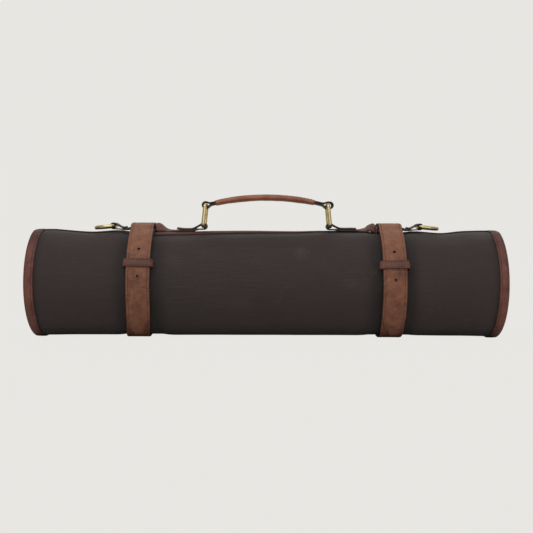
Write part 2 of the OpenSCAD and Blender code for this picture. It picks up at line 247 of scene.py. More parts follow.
def section(hw, t, e=0.55, k=9, grooves=(), crown=0.0, gd=0.18, gw=0.55):
    """Closed cross-section of a strap: (across, out) points and how much of an edge each one is."""
    e = min(e, t / 2 * 0.98)
    top = np.linspace(-hw + e, hw - e, k)
    extra = [g + d for g in grooves for d in (-gw, -gw / 2, 0, gw / 2, gw)]
    top = np.unique(np.round(np.concatenate([top, extra]), 4)) if len(extra) else top
    top = top[(top >= -hw + e - 1e-6) & (top <= hw - e + 1e-6)]
    n = t / 2 + crown * (1 - (top / hw) ** 2)
    for g in grooves:
        n = n - gd * np.exp(-(((top - g) / (gw * 0.55)) ** 2))
    pts = [(y, z, 0.35 * max(0.0, (abs(y) - hw + 2.2) / 2.2)) for y, z in zip(top, n)]
    q = np.radians(np.linspace(90, -90, 7)[1:-1])
    pts += [(hw - e + e * math.cos(b), (t / 2 - e) * (1 if b > 0 else -1 if b < 0 else 0) + e * math.sin(b), 1.0) for b in q]
    bot = np.linspace(hw - e, -hw + e, k)
    pts += [(y, -t / 2, 0.6) for y in bot]
    pts += [(-hw + e - e * math.cos(b), (t / 2 - e) * (1 if b > 0 else -1 if b < 0 else 0) + e * math.sin(b), 1.0) for b in q[::-1]]
    return np.array(pts)


def ribbon(part, C, W, N, hw=10.0, t=2.0, scale=None, tscale=None, shape=None, cap=True, closed=False, wear_add=None, **kw):
    """Sweeps a strap's section along C (n,3): W is across, N is out of its good side."""
    n = len(C)
    sec = section(hw, t, **kw) if shape is None else shape
    scale = np.ones(n) if scale is None else np.asarray(scale)
    tscale = np.ones(n) if tscale is None else np.asarray(tscale)
    P = (C[:, None, :] + (sec[None, :, 0] * scale[:, None])[..., None] * W[:, None, :]
         + (sec[None, :, 1] * tscale[:, None])[..., None] * N[:, None, :])
    s = np.concatenate([[0], np.cumsum(np.linalg.norm(np.diff(C, axis=0), axis=1))])
    if closed:
        s = np.append(s, s[-1] + np.linalg.norm(C[0] - C[-1]))
    girth = np.concatenate([[0], np.cumsum(np.linalg.norm(np.diff(sec[:, :2], axis=0), axis=1))])
    V = np.append(girth, girth[-1] + 0.3) * MM
    wear_and_shade = np.broadcast_to(sec[None, :, 2], (n, len(sec))).copy()
    if wear_add is not None:
        wear_and_shade = np.clip(wear_and_shade + wear_add[:, None], 0, 1)
    base = sum(len(v) for v in part["v"])
    add_grid(part, P, s * MM, V, wear_and_shade, closed_v=True, closed_u=closed)
    if cap and not closed:
        m = len(sec)
        for i, turn in ((0, True), (n - 1, False)):
            c = P[i].mean(0)
            inner = P[i] * 0.5 + c * 0.5
            add(part, np.concatenate([P[i], inner, [c]]),
                cap_faces(m, turn), np.tile([[0, 0], [0.001, 0], [0.001, 0.001], [0, 0.001]], (len(cap_faces(m, turn)), 1)),
                1.0)
    return P


def cap_faces(m, turn):
    j = np.arange(m)
    k = (j + 1) % m
    q = np.stack([j, k, m + k, m + j], 1)
    # the middle, as quads over two steps
    f = [[m + int(a), m + int((a + 1) % m), m + int((a + 2) % m), 2 * m] for a in range(0, m - 1, 2)]
    if m % 2:
        f.append([m + m - 1, m + 0, 2 * m, 2 * m])
    q = np.concatenate([q, np.array([x for x in f if len(set(x)) == 4], int)])
    return q[:, ::-1] if turn else q


def tangents(C, closed=False):
    if closed:
        T = np.roll(C, -1, 0) - np.roll(C, 1, 0)
    else:
        T = np.gradient(C, axis=0)
    return T / np.linalg.norm(T, axis=1)[:, None]


def resample(C, step, closed=False):
    C = np.asarray(C, float)
    if closed:
        C = np.concatenate([C, C[:1]])
    s = np.concatenate([[0], np.cumsum(np.linalg.norm(np.diff(C, axis=0), axis=1))])
    n = max(2, int(round(s[-1] / step)) + 1)
    t = np.linspace(0, s[-1], n)
    out = np.stack([np.interp(t, s, C[:, k]) for k in range(C.shape[1])], 1)
    return out[:-1] if closed else out


def smooth(C, times=2, closed=False):
    C = np.asarray(C, float).copy()
    for _ in range(times):
        if closed:
            C = 0.25 * np.roll(C, 1, 0) + 0.5 * C + 0.25 * np.roll(C, -1, 0)
        else:
            C[1:-1] = 0.25 * C[:-2] + 0.5 * C[1:-1] + 0.25 * C[2:]
    return C


def stitches(part, line, out, pitch=3.4, length=2.5, r=0.34, sink=0.0, tilt=0.08, start=1.0):
    """Short slanted thread ends along a line (n,3), standing out along out (n,3)."""
    line = np.asarray(line, float)
    out = np.asarray(out, float)
    s = np.concatenate([[0], np.cumsum(np.linalg.norm(np.diff(line, axis=0), axis=1))])
    g = np.random.RandomState(17)
    T = tangents(line)
    m, k = 6, 7
    ang = np.linspace(0, 2 * math.pi, m, endpoint=False)
    for a in np.arange(start + length / 2, s[-1] - length / 2, pitch):
        c = np.array([np.interp(a, s, line[:, i]) for i in range(3)])
        t = np.array([np.interp(a, s, T[:, i]) for i in range(3)])
        n = np.array([np.interp(a, s, out[:, i]) for i in range(3)])
        t /= np.linalg.norm(t)
        n -= t * (n @ t)
        n /= np.linalg.norm(n)
        b = np.cross(n, t)
        d = t + b * (tilt + g.uniform(-0.03, 0.03))
        d /= np.linalg.norm(d)
        b = np.cross(n, d)
        u = np.linspace(-1, 1, k)
        rad = r * np.sqrt(np.clip(1 - (np.abs(u) ** 3) * 0.97, 0.02, 1))
        lift = r * 0.55 * (1 - u ** 2) - r * 0.35 - sink
        C = c + np.outer(u * length / 2, d) + np.outer(lift, n)
        P = C[:, None] + rad[:, None, None] * (np.cos(ang)[None, :, None] * b + np.sin(ang)[None, :, None] * n * 0.8)
        add_grid(part, P, (u + 1) * length / 2 * MM, np.linspace(0, 2 * math.pi * r, m + 1) * MM, 0.0, closed_v=True)
        for i, turn in ((0, True), (k - 1, False)):
            base = sum(len(v) for v in part["v"]) - k * m + i * m
            q = np.array([[base, base + 1, base + 2, base + 3], [base, base + 3, base + 4, base + 5]])
            part["f"].append(q[:, ::-1] if turn else q)
            part["uv"].append(np.zeros((8, 2)))


# ------------------------------------------------------------------ materials
class Mat:
    def __init__(self, name):
        self.m = bpy.data.materials.new(name)
        self.m.use_nodes = True
        self.t = self.m.node_tree
        self.t.nodes.clear()
        self.out = self.n("ShaderNodeOutputMaterial")
        self.b = self.n("ShaderNodeBsdfPrincipled")
        self.t.links.new(self.b.outputs[0], self.out.inputs[0])

    def n(self, kind, **kw):
        x = self.t.nodes.new(kind)
        for k, v in kw.items():
            setattr(x, k, v)
        return x

    def link(self, a, b):
        self.t.links.new(a, b)

    def put(self, sock, v):
        if isinstance(v, bpy.types.NodeSocket):
            self.link(v, sock)
        else:
            sock.default_value = v

    def coords(self, kind="Object", scale=(1, 1, 1), rot=(0, 0, 0)):
        tc = self.n("ShaderNodeTexCoord")
        mp = self.n("ShaderNodeMapping")
        mp.inputs["Scale"].default_value = scale
        mp.inputs["Rotation"].default_value = rot
        self.link(tc.outputs[kind], mp.inputs["Vector"])
        return mp.outputs[0]

    def noise(self, vec, scale, detail=3.0, rough=0.5, dist=0.0):
        x = self.n("ShaderNodeTexNoise")
        self.link(vec, x.inputs["Vector"])
        x.inputs["Scale"].default_value = scale
        x.inputs["Detail"].default_value = detail
        x.inputs["Roughness"].default_value = rough
        x.inputs["Distortion"].default_value = dist
        return x.outputs["Fac"]

    def voronoi(self, vec, scale, feature="F1", out="Distance"):
        x = self.n("ShaderNodeTexVoronoi", feature=feature)
        self.link(vec, x.inputs["Vector"])
        x.inputs["Scale"].default_value = scale
        return x.outputs[out]

    def ramp(self, fac, stops):
        x = self.n("ShaderNodeValToRGB")
        el = x.color_ramp.elements
        while len(el) > 1:
            el.remove(el[0])
        el[0].position = stops[0][0]
        el[0].color = tuple(stops[0][1]) + (1,)
        for p, c in stops[1:]:
            e = el.new(p)
            e.color = tuple(c) + (1,)
        self.put(x.inputs[0], fac)
        return x.outputs[0]

    def range(self, fac, a, b, c, d):
        x = self.n("ShaderNodeMapRange")
        self.put(x.inputs["Value"], fac)
        for k, v in zip(("From Min", "From Max", "To Min", "To Max"), (a, b, c, d)):
            x.inputs[k].default_value = v
        return x.outputs[0]

    def math(self, op, a, b=0.0):
        x = self.n("ShaderNodeMath", operation=op)
        self.put(x.inputs[0], a)
        self.put(x.inputs[1], b)
        return x.outputs[0]

    def mix(self, fac, a, b, kind="MIX"):
        x = self.n("ShaderNodeMix", data_type="RGBA", blend_type=kind)
        self.put(x.inputs["Factor"], fac)
        for s, v in ((x.inputs[6], a), (x.inputs[7], b)):
            self.put(s, v if isinstance(v, bpy.types.NodeSocket) else tuple(v) + (1,))
        return x.outputs[2]

    def bump(self, height, strength, distance, prev=None):
        x = self.n("ShaderNodeBump")
        x.inputs["Strength"].default_value = strength
        x.inputs["Distance"].default_value = distance
        self.put(x.inputs["Height"], height)
        if prev is not None:
            self.link(prev, x.inputs["Normal"])
        return x.outputs[0]

    def attr(self, name):
        x = self.n("ShaderNodeAttribute", attribute_name=name)
        return x.outputs["Fac"]

    def wave(self, vec, scale, direction):
        x = self.n("ShaderNodeTexWave", wave_type="BANDS", bands_direction=direction, wave_profile="SIN")
        self.link(vec, x.inputs["Vector"])
        x.inputs["Scale"].default_value = scale
        x.inputs["Distortion"].default_value = 0.0
        return x.outputs["Fac"]


def lin(*c):
    return tuple(((v / 255) / 12.92 if v / 255 <= 0.04045 else ((v / 255 + 0.055) / 1.055) ** 2.4) for v in c)


def weave(m, vec, pitch_mm):
    """Plain weave, warp over weft, in metres: returns a height from 0 to 1."""
    k = 1.0 / (pitch_mm * MM)
    sep = m.n("ShaderNodeSeparateXYZ")
    m.link(vec, sep.inputs[0])
    def hump(x, shift):
        t = m.math("MULTIPLY", x, k)
        t = m.math("ADD", t, shift)
        t = m.math("MULTIPLY", t, math.pi)
        return m.math("ABSOLUTE", m.math("SINE", t))
    u, v = sep.outputs[0], sep.outputs[1]
    cu = m.math("SINE", m.math("MULTIPLY", u, math.pi * k))
    cv = m.math("SINE", m.math("MULTIPLY", v, math.pi * k))
    over = m.range(m.math("MULTIPLY", m.math("COSINE", m.math("MULTIPLY", u, math.pi * k)), m.math("COSINE", m.math("MULTIPLY", v, math.pi * k))), -0.4, 0.4, 0, 1)
    warp = hump(u, 0.0)
    weft = hump(v, 0.0)
    x = m.n("ShaderNodeMix", data_type="FLOAT")
    m.link(over, x.inputs[0])
    m.link(warp, x.inputs[2])
    m.link(weft, x.inputs[3])
    return x.outputs[0]


def canvas_material(name, dark, mid, light, scuff=1.0, pitch=0.75, rough=0.7, marks=(), tint=0.0):
    m = Mat(name)
    ob = m.coords("Object")
    uv = m.coords("UV")
    streak = m.noise(m.coords("UV", (28, 900, 1)), 1.0, 4, 0.65)
    slub = m.noise(m.coords("UV", (500, 20, 1)), 1.0, 2, 0.5)
    cloud = m.noise(ob, 9, 4, 0.55, 0.6)
    blot = m.noise(ob, 32, 5, 0.6, 0.3)
    base = m.mix(m.range(cloud, 0.35, 0.68, 0, 1), dark, mid)
    base = m.mix(m.math("MULTIPLY", m.range(streak, 0.42, 0.72, 0, 1), 0.42), base, light)
    base = m.mix(m.math("MULTIPLY", m.range(slub, 0.55, 0.8, 0, 1), 0.12), base, light)
    base = m.mix(m.math("MULTIPLY", m.range(blot, 0.5, 0.75, 0, 1), 0.25), base, dark)
    # painted shade: darker and greyer beside the straps, and darker towards the ends of the roll
    strap_shade_and_end_dark = m.attr("wear_and_shade")
    base = m.mix(m.math("MULTIPLY", m.range(m.noise(ob, 13, 4, 0.6, 0.8), 0.42, 0.62, 0, 1), tint), base, tuple(c * k for c, k in zip(mid, (0.98, 0.84, 1.0))))
    base = m.mix(m.math("MULTIPLY", strap_shade_and_end_dark, 0.9), base, tuple(c * k for c, k in zip(dark, (0.42, 0.55, 0.5))))
    # chalky rubs in the wax
    rub = m.math("MULTIPLY", m.range(m.noise(ob, 17, 6, 0.7, 1.2), 0.57, 0.78, 0, 1), m.range(m.noise(m.coords("UV", (160, 420, 1)), 1.0, 4, 0.7), 0.45, 0.7, 0, 1))
    chalk = tuple(min(1, c * 2.6 + 0.012) for c in light)
    base = m.mix(m.math("MULTIPLY", rub, 0.34 * scuff), base, chalk)
    for (cx, cy, cz), (kx, kz), rad, power in marks:
        mp = m.n("ShaderNodeMapping", vector_type="POINT")
        tc = m.n("ShaderNodeTexCoord")
        m.link(tc.outputs["Object"], mp.inputs["Vector"])
        mp.inputs["Location"].default_value = (-cx * kx, -cy, -cz * kz)
        mp.inputs["Scale"].default_value = (kx, 1, kz)
        ln = m.n("ShaderNodeVectorMath", operation="LENGTH")
        m.link(mp.outputs[0], ln.inputs[0])
        near = m.range(ln.outputs["Value"], 0.2 * rad, rad, 1, 0)
        near = m.math("MULTIPLY", near, m.range(m.noise(m.coords("Object", (1, 1, 2.2)), 190, 5, 0.75, 1.5), 0.4, 0.7, 0, 1))
        base = m.mix(m.math("MULTIPLY", near, power), base, chalk)
    w = weave(m, uv, pitch)
    base = m.mix(m.range(w, 0.15, 0.75, 0.30, 0.0), base, tuple(c * 0.5 for c in dark))
    m.put(m.b.inputs["Base Color"], base)
    m.put(m.b.inputs["Roughness"], m.range(cloud, 0.3, 0.7, rough - 0.08, rough + 0.1))
    m.b.inputs["Specular IOR Level"].default_value = 0.35
    m.b.inputs["Sheen Weight"].default_value = 0.06
    m.b.inputs["Sheen Roughness"].default_value = 0.5
    b = m.bump(m.noise(ob, 60, 4, 0.6), 0.25, 0.0006)
    b = m.bump(streak, 0.25, 0.0002, b)
    b = m.bump(w, 0.5, 0.00016, b)
    m.link(b, m.b.inputs["Normal"])
    return m.m


def leather_material(name, dark, mid, light, edge, rough=0.55, grain=900, pull=0.6, wrinkle=0.3, emboss=False, top=0.0, shade=0.0):
    m = Mat(name)
    ob = m.coords("Object")
    sep = m.n("ShaderNodeSeparateXYZ")
    tc = m.n("ShaderNodeTexCoord")
    m.link(tc.outputs["Object"], sep.inputs[0])
    big = m.noise(ob, 55, 5, 0.62, 0.6)
    mid_n = m.noise(ob, 170, 4, 0.6, 0.3)
    fine = m.noise(ob, 420, 3, 0.6)
    base = m.mix(m.range(big, 0.36, 0.6, 0, 1), dark, mid)
    base = m.mix(m.math("MULTIPLY", m.range(m.noise(ob, 75, 5, 0.65, 1.0), 0.48, 0.7, 0, 1), 0.62 * pull), base, light)
    base = m.mix(m.math("MULTIPLY", m.range(mid_n, 0.45, 0.75, 0, 1), 0.6 * pull), base, light)
    base = m.mix(m.math("MULTIPLY", m.range(fine, 0.55, 0.8, 0, 1), 0.35), base, dark)
    # fine scratches and rubbed creases
    scr = m.noise(m.coords("Object", (60, 900, 260), (0.5, 0.3, 0.2)), 1.0, 3, 0.7)
    base = m.mix(m.math("MULTIPLY", m.range(scr, 0.6, 0.78, 0, 1), 0.28), base, light)
    if top:
        # painted light: lighter high up where the strap goes over the roll, as if lit from above
        painted_top_light = m.math("MULTIPLY", m.range(sep.outputs["Z"], 0.07, 0.117, 0, 1), m.range(mid_n, 0.25, 0.7, 0.5, 1.0))
        base = m.mix(m.math("MULTIPLY", painted_top_light, top), base, light)
    if shade:
        # painted shade: darker low down and along the top of the roll, where the binding turns away from the light
        binding_painted_shade = m.math("ADD", m.range(sep.outputs["Z"], 0.092, 0.112, 0, 1), m.range(sep.outputs["Z"], 0.026, 0.008, 0, 1))
        base = m.mix(m.math("MULTIPLY", binding_painted_shade, shade), base, tuple(c * 0.7 for c in dark))
    wear_and_shade = m.attr("wear_and_shade")
    rubbed = m.math("MULTIPLY", m.range(wear_and_shade, 0.05, 0.35, 0, 1), m.range(mid_n, 0.3, 0.7, 0.15, 0.5))
    base = m.mix(rubbed, base, dark)
    base = m.mix(m.range(wear_and_shade, 0.6, 0.95, 0, 1), base, edge)
    cell = m.voronoi(ob, grain, "DISTANCE_TO_EDGE")
    pit = m.range(cell, 0.0, 0.12, 0, 1)
    base = m.mix(m.range(pit, 0.0, 0.7, 0.26, 0.0), base, tuple(c * 0.55 for c in dark))
    m.put(m.b.inputs["Base Color"], base)
    m.put(m.b.inputs["Roughness"], m.range(big, 0.3, 0.7, rough - 0.08, rough + 0.1))
    m.b.inputs["Specular IOR Level"].default_value = 0.4
    b = m.bump(mid_n, wrinkle, 0.0007)
    if emboss:
        wv = m.wave(m.coords("UV", (1, 0.9, 1), (0, 0, 0.5)), 120, "X")
        b = m.bump(wv, 0.3, 0.0005, b)
        base = m.mix(m.math("MULTIPLY", m.range(wv, 0.1, 0.5, 0.4, 0.0), m.range(mid_n, 0.35, 0.65, 0.1, 1.0)), base, tuple(c * 0.55 for c in dark))
        m.put(m.b.inputs["Base Color"], base)
    b = m.bump(pit, 0.35, 0.00014, b)
    b = m.bump(fine, 0.3, 0.00018, b)
    m.link(b, m.b.inputs["Normal"])
    return m.m


def brass_material(name, base, dark, rough=0.24):
    m = Mat(name)
    ob = m.coords("Object")
    n1 = m.noise(ob, 130, 4, 0.6)
    n2 = m.noise(m.coords("Object", (300, 2600, 2600)), 1.0, 3, 0.7)
    col = m.mix(m.range(n1, 0.35, 0.75, 0, 0.7), base, dark)
    m.put(m.b.inputs["Base Color"], col)
    m.b.inputs["Metallic"].default_value = 1.0
    m.put(m.b.inputs["Roughness"], m.range(n1, 0.3, 0.75, rough - 0.06, rough + 0.16))
    b = m.bump(n2, 0.025, 0.0001)
    b = m.bump(n1, 0.05, 0.0002, b)
    m.link(b, m.b.inputs["Normal"])
    return m.m


def thread_material(name, base, dark):
    m = Mat(name)
    uv = m.coords("UV", (1, 1, 1))
    tw = m.wave(m.coords("UV", (1, 0.6, 1), (0, 0, 0.6)), 900, "X")
    n = m.noise(m.coords("Object"), 300, 3, 0.6)
    col = m.mix(m.range(n, 0.35, 0.7, 0, 1), base, dark)
    m.put(m.b.inputs["Base Color"], m.mix(m.math("MULTIPLY", tw, 0.4), col, dark))
    m.put(m.b.inputs["Roughness"], m.range(n, 0.3, 0.7, 0.55, 0.75))
    m.link(m.bump(tw, 0.5, 0.0001), m.b.inputs["Normal"])
    return m.m


MARKS = [((0.0364, -0.0459, 0.0927), (1, 1), 0.010, 0.34), ((0.2296, -0.0235, 0.1109), (0.6, 1), 0.012, 0.26),
         ((-0.098, -0.05, 0.086), (0.7, 1), 0.009, 0.14), ((0.085, -0.0565, 0.062), (0.5, 1), 0.008, 0.15),
         ((-0.205, -0.036, 0.1), (0.4, 1), 0.012, 0.1), ((-0.03, -0.052, 0.04), (0.4, 1), 0.01, 0.1)]
M_CANVAS = canvas_material("waxed_canvas", lin(48, 38, 37), lin(60, 49, 47), lin(78, 66, 62), marks=MARKS, tint=0.7)
M_POCKET = canvas_material("pocket_canvas", lin(62, 52, 48), lin(76, 64, 58), lin(100, 86, 78), 0.4, 0.7)
M_LINING = canvas_material("lining_cloth", lin(120, 98, 74), lin(140, 116, 88), lin(165, 140, 108), 0.2, 0.6, 0.8)
# top=0.55 paints light on the strap's upper part
M_STRAP = leather_material("strap_leather", lin(94, 53, 38), lin(127, 78, 57), lin(166, 110, 80), lin(62, 37, 28), pull=0.8, top=0.55)
# shade=0.55 paints shade on the binding near the top and the bottom of the roll
M_BIND = leather_material("binding_leather", lin(82, 44, 37), lin(120, 69, 58), lin(150, 93, 76), lin(52, 31, 27), 0.55, 900, 0.6, shade=0.55)
M_KEEP = leather_material("keeper_leather", lin(84, 50, 40), lin(108, 68, 55), lin(138, 94, 76), lin(52, 33, 27), 0.6, 700, 0.7, 0.6, emboss=True)
M_STRIP = leather_material("strip_leather", lin(84, 51, 41), lin(112, 72, 58), lin(142, 98, 80), lin(58, 38, 32), 0.5, 900, 0.6)
# hole walls: the dark cut edge, made darker still as painted shade for the shadow inside the punched holes
M_HOLE_EDGE_AND_SHADE = leather_material("punched_edge_and_shade", lin(30, 19, 15), lin(38, 25, 20), lin(46, 30, 24), lin(26, 17, 14), 0.7)
M_GRIP = leather_material("grip_leather", lin(140, 80, 55), lin(172, 104, 76), lin(196, 127, 96), lin(96, 55, 40), 0.48, 1000, 0.55, 0.25)
M_CORE = leather_material("core_leather", lin(52, 35, 30), lin(70, 46, 38), lin(96, 64, 52), lin(44, 30, 26), 0.5, 900, 0.5)
M_BRASS = brass_material("brass", (0.86, 0.71, 0.38), (0.36, 0.24, 0.09), 0.2)
M_THREAD = thread_material("strap_thread", lin(84, 52, 40), lin(54, 34, 27))
M_THREAD_D = thread_material("dark_thread", lin(76, 50, 42), lin(44, 30, 26))

# ------------------------------------------------------------------ the rolled sheet
E = L2 - BT - 0.1


def xs_for(n, e=E):
    return np.linspace(-e, e, n)


aa = np.concatenate([np.arange(0, 12, 1.5), np.arange(12, 360, 2.4), np.arange(360, END, 5), [END]])
xs = xs_for(215)
A, X = np.meshgrid(aa, xs)
ro = sheet_r(A) + soft(X, A)
inner = ss((A - 340) / 30)
ro = ro + inner * (0.35 * wob(X, A, 21, 5, 0.004, 0.01))
part = collect()
dd = np.abs(np.abs(X) - SX)
# outer face mark: painted shade beside the straps, where they pinch the canvas; near the ends the canvas is darkened as
# well
pinch_shade = np.exp(-(((dd - 15.5) / 9.5) ** 2)) * (1 - ss((A - 300) / 40)) * (0.85 + 0.25 * wob(X, A, 77, 5, 0.01, 0.012))
rim = 0.55 * ss((np.abs(X) - 232) / 8) * (1 - ss((A - 300) / 40))
shell(part, xs, aa, ro, ro - CT, np.clip(np.maximum(pinch_shade, rim), 0, 1), 0.0)
canvas = finish_mesh(part, "canvas_sheet", "roll", M_CANVAS, ["outer_canvas"])

# lining, pockets and flap, which show only at the ends and down the middle
aa2 = np.concatenate([np.arange(352, END, 5), [END]])
xs2 = xs_for(90)
A, X = np.meshgrid(aa2, xs2)
lr = sheet_r(A) - CT - 0.2 + 0.25 * wob(X, A, 31, 5, 0.006, 0.012)
part = collect()
shell(part, xs2, aa2, np.minimum(lr, sheet_r(A) - CT - 0.05), np.minimum(lr, sheet_r(A) - CT - 0.05) - 1.0)
lining = finish_mesh(part, "lining_sheet", "roll", M_LINING, ["lining"])

aa3 = np.concatenate([np.arange(380, END - 12, 3), [END - 12]])
seams = np.arange(400, END - 20, 36.0)
near = np.min(np.abs(aa3[:, None] - seams[None]), axis=1)
puff = ss(near / 9)


def pocket(x0, x1, nx, name, node, seed, edge_wave, mat):
    xx = np.linspace(x0, x1, nx)
    A, X = np.meshgrid(aa3, xx)
    o = CT + 0.4 + 1.0
    r = sheet_r(A) - o - 0.9 * puff[None, :] * (0.6 + 0.4 * wob(X, A, seed, 4, 0.006, 0.02))
    # the free edge isn't quite straight
    free = x1 if edge_wave > 0 else x0
    w = bell(X, free, 16)
    r = r - 0.8 * w * puff[None, :]
    X2 = X + w * 1.6 * wob(A * 0.6, 0 * A, seed + 3, 4, 0.02, 0.02)
    p = collect()
    ph = FREE - aa3
    nxx, na = r.shape
    s = np.concatenate([[0], np.cumsum(np.radians(np.diff(aa3)) * 0.5 * (sheet_r(aa3[1:]) + sheet_r(aa3[:-1])))])
    Ps = []
    for rr in (r, r - 0.9):
        y, z = pol(rr, ph[None, :])
        Ps.append(np.stack([X2, y, z], 2))
    P = np.concatenate([Ps[0], Ps[1][:, ::-1]], 1)
    add_grid(p, P, xx * MM, np.concatenate([s, s[::-1], [0]]) * MM, 0.0, closed_v=True)
    j = np.arange(na - 1)
    for i, turn in ((0, False), (nxx - 1, True)):
        b = i * 2 * na
        q = np.stack([b + j, b + j + 1, b + 2 * na - 2 - j, b + 2 * na - 1 - j], 1)
        p["f"].append(q[:, ::-1] if turn else q)
        p["uv"].append(np.zeros((len(q) * 4, 2)))
    return finish_mesh(p, name, "roll", mat, [node])


pockets = pocket(-E, 45, 60, "pocket_row", "pocket_panel", 41, 1, M_POCKET)
flap = pocket(75, E, 40, "tool_cover_flap", "tool_flap", 51, -1, M_POCKET)


# ------------------------------------------------------------------ leather binding
def end_binding(s, name, node):
    aa = np.concatenate([np.arange(0, 360, 2.0), np.arange(360, END, 4), [END]])
    g = 0.12
    t = wrap_t(aa)
    # (distance in from the end, share of the way through the layers, extra)
    prof = []
    for d in (10.0, 9.7, 8.6, 8.1, 7.6, 7.1, 6.4, 5.0, 3.4, 2.2):
        lift = BT + g
        lift -= 0.32 if d == 7.6 else 0.12 if d in (8.1, 7.1) else 0.0
        lift -= 0.5 if d == 10.0 else 0.0
        lift += 0.12 if d in (5.0, 6.4) else 0.0
        prof.append((d, 0, lift, 0.7 if d >= 9.7 else 0.12 if d < 3 else 0.0))
    for b in (25, 50, 75):
        prof.append((1.6 * (1 - math.sin(math.radians(b))), 0, (BT + g) * math.cos(math.radians(b)) * 1.0 + 0.0, 0.3))
    prof.append((0.0, 0.0, -0.15, 0.35))
    prof.append((0.0, 0.5, 0.0, 0.4))
    prof.append((0.0, 1.0, -0.15, 0.35))
    for b in (75, 50, 25):
        prof.append((1.6 * (1 - math.sin(math.radians(b))), 1, (BT + g) * math.cos(math.radians(b)), 0.3))
    for d in (2.2, 4.0, 6.4, 7.6, 8.8, 9.7, 10.0):
        prof.append((d, 1, BT + g - (0.3 if d in (7.6,) else 0.4 if d == 10.0 else 0), 0.1))
    for d, k in ((9.9, 1), (6.0, 1), (BT + 0.2, 1), (BT, 0.5), (BT + 0.2, 0), (6.0, 0), (9.9, 0)):
        prof.append((d, k, g if k != 0.5 else 0.0, 0.8))
    prof = np.array(prof)
    x = s * (L2 - prof[:, 0])
    rbase = sheet_r(aa)[:, None] + soft(np.broadcast_to(x[None, :], (len(aa), len(x))), aa[:, None])
    edge = 0.22 * wob(aa[:, None] * 1.0, 0 * aa[:, None], 61 + int(s), 6, 0.03, 0.02)
    k = prof[None, :, 1]
    r = rbase - t[:, None] * k + prof[None, :, 2] * np.where(k > 0.5, -1, np.where(k == 0.5, 0, 1))
    ripple = 0.10 * wob(aa[:, None] * 1.0, prof[None, :, 0] * 2.0, 65 + int(s), 6, 0.06, 0.05)
    r = r + ripple * (prof[None, :, 0] > 1) * np.where(k > 0.5, 0, 1) * (prof[None, :, 2] > 1)
    y, z = pol(r, phi_of(x[None, :], aa[:, None]))
    X = np.broadcast_to(x[None, :], y.shape) + s * edge * (prof[None, :, 0] > 9.5) * -1
    P = np.stack([X, y, np.maximum(z, 0.02)], 2)
    arc = np.concatenate([[0], np.cumsum(np.radians(np.diff(aa)) * sheet_r(aa[1:]))])
    girth = np.concatenate([[0], np.cumsum(np.hypot(np.diff(prof[:, 0]), np.diff(prof[:, 2]) + np.diff(prof[:, 1]) * 3))])
    p = collect()
    add_grid(p, P, arc * MM, np.append(girth, girth[-1] + 0.5) * MM, np.broadcast_to(prof[None, :, 3], y.shape), closed_v=True, flip=s < 0)
    m = len(prof)
    n = len(aa)
    # close both ends of the strip
    for i in (0, n - 1):
        c = list(range(i * m, i * m + m))
        half = m // 2
        for j in range(half - 1):
            q = [c[j], c[j + 1], c[m - 2 - j], c[m - 1 - j]]
            if len(set(q)) == 4:
                p["f"].append(np.array([q if (i == 0) == (s > 0) else q[::-1]]))
                p["uv"].append(np.zeros((4, 2)))
    o = finish_mesh(p, name, "roll", M_BIND, [node])
    th = collect()
    aa4 = np.arange(2, 348, 1.0)
    rr = sheet_r(aa4) + soft(np.full_like(aa4, s * (L2 - 7.6)), aa4) + BT + g - 0.16
    ph4 = phi_of(np.full_like(aa4, s * (L2 - 7.6)), aa4)
    y, z = pol(rr, ph4)
    line = np.stack([np.full_like(y, s * (L2 - 7.6)), y, z], 1)
    y2, z2 = pol(rr + 1, ph4)
    out = np.stack([0 * y, y2 - y, z2 - z], 1)
    stitches(th, line, out, 3.5, 2.5, 0.33)
    for v in th["v"]:
        v[:, 2] = np.maximum(v[:, 2], 0.0)
    to = finish_mesh(th, name + "_thread", "roll", M_THREAD_D)
    return o, to


bl = end_binding(-1, "left_rim_binding", "left_end_binding")
br = end_binding(1, "right_rim_binding", "right_end_binding")


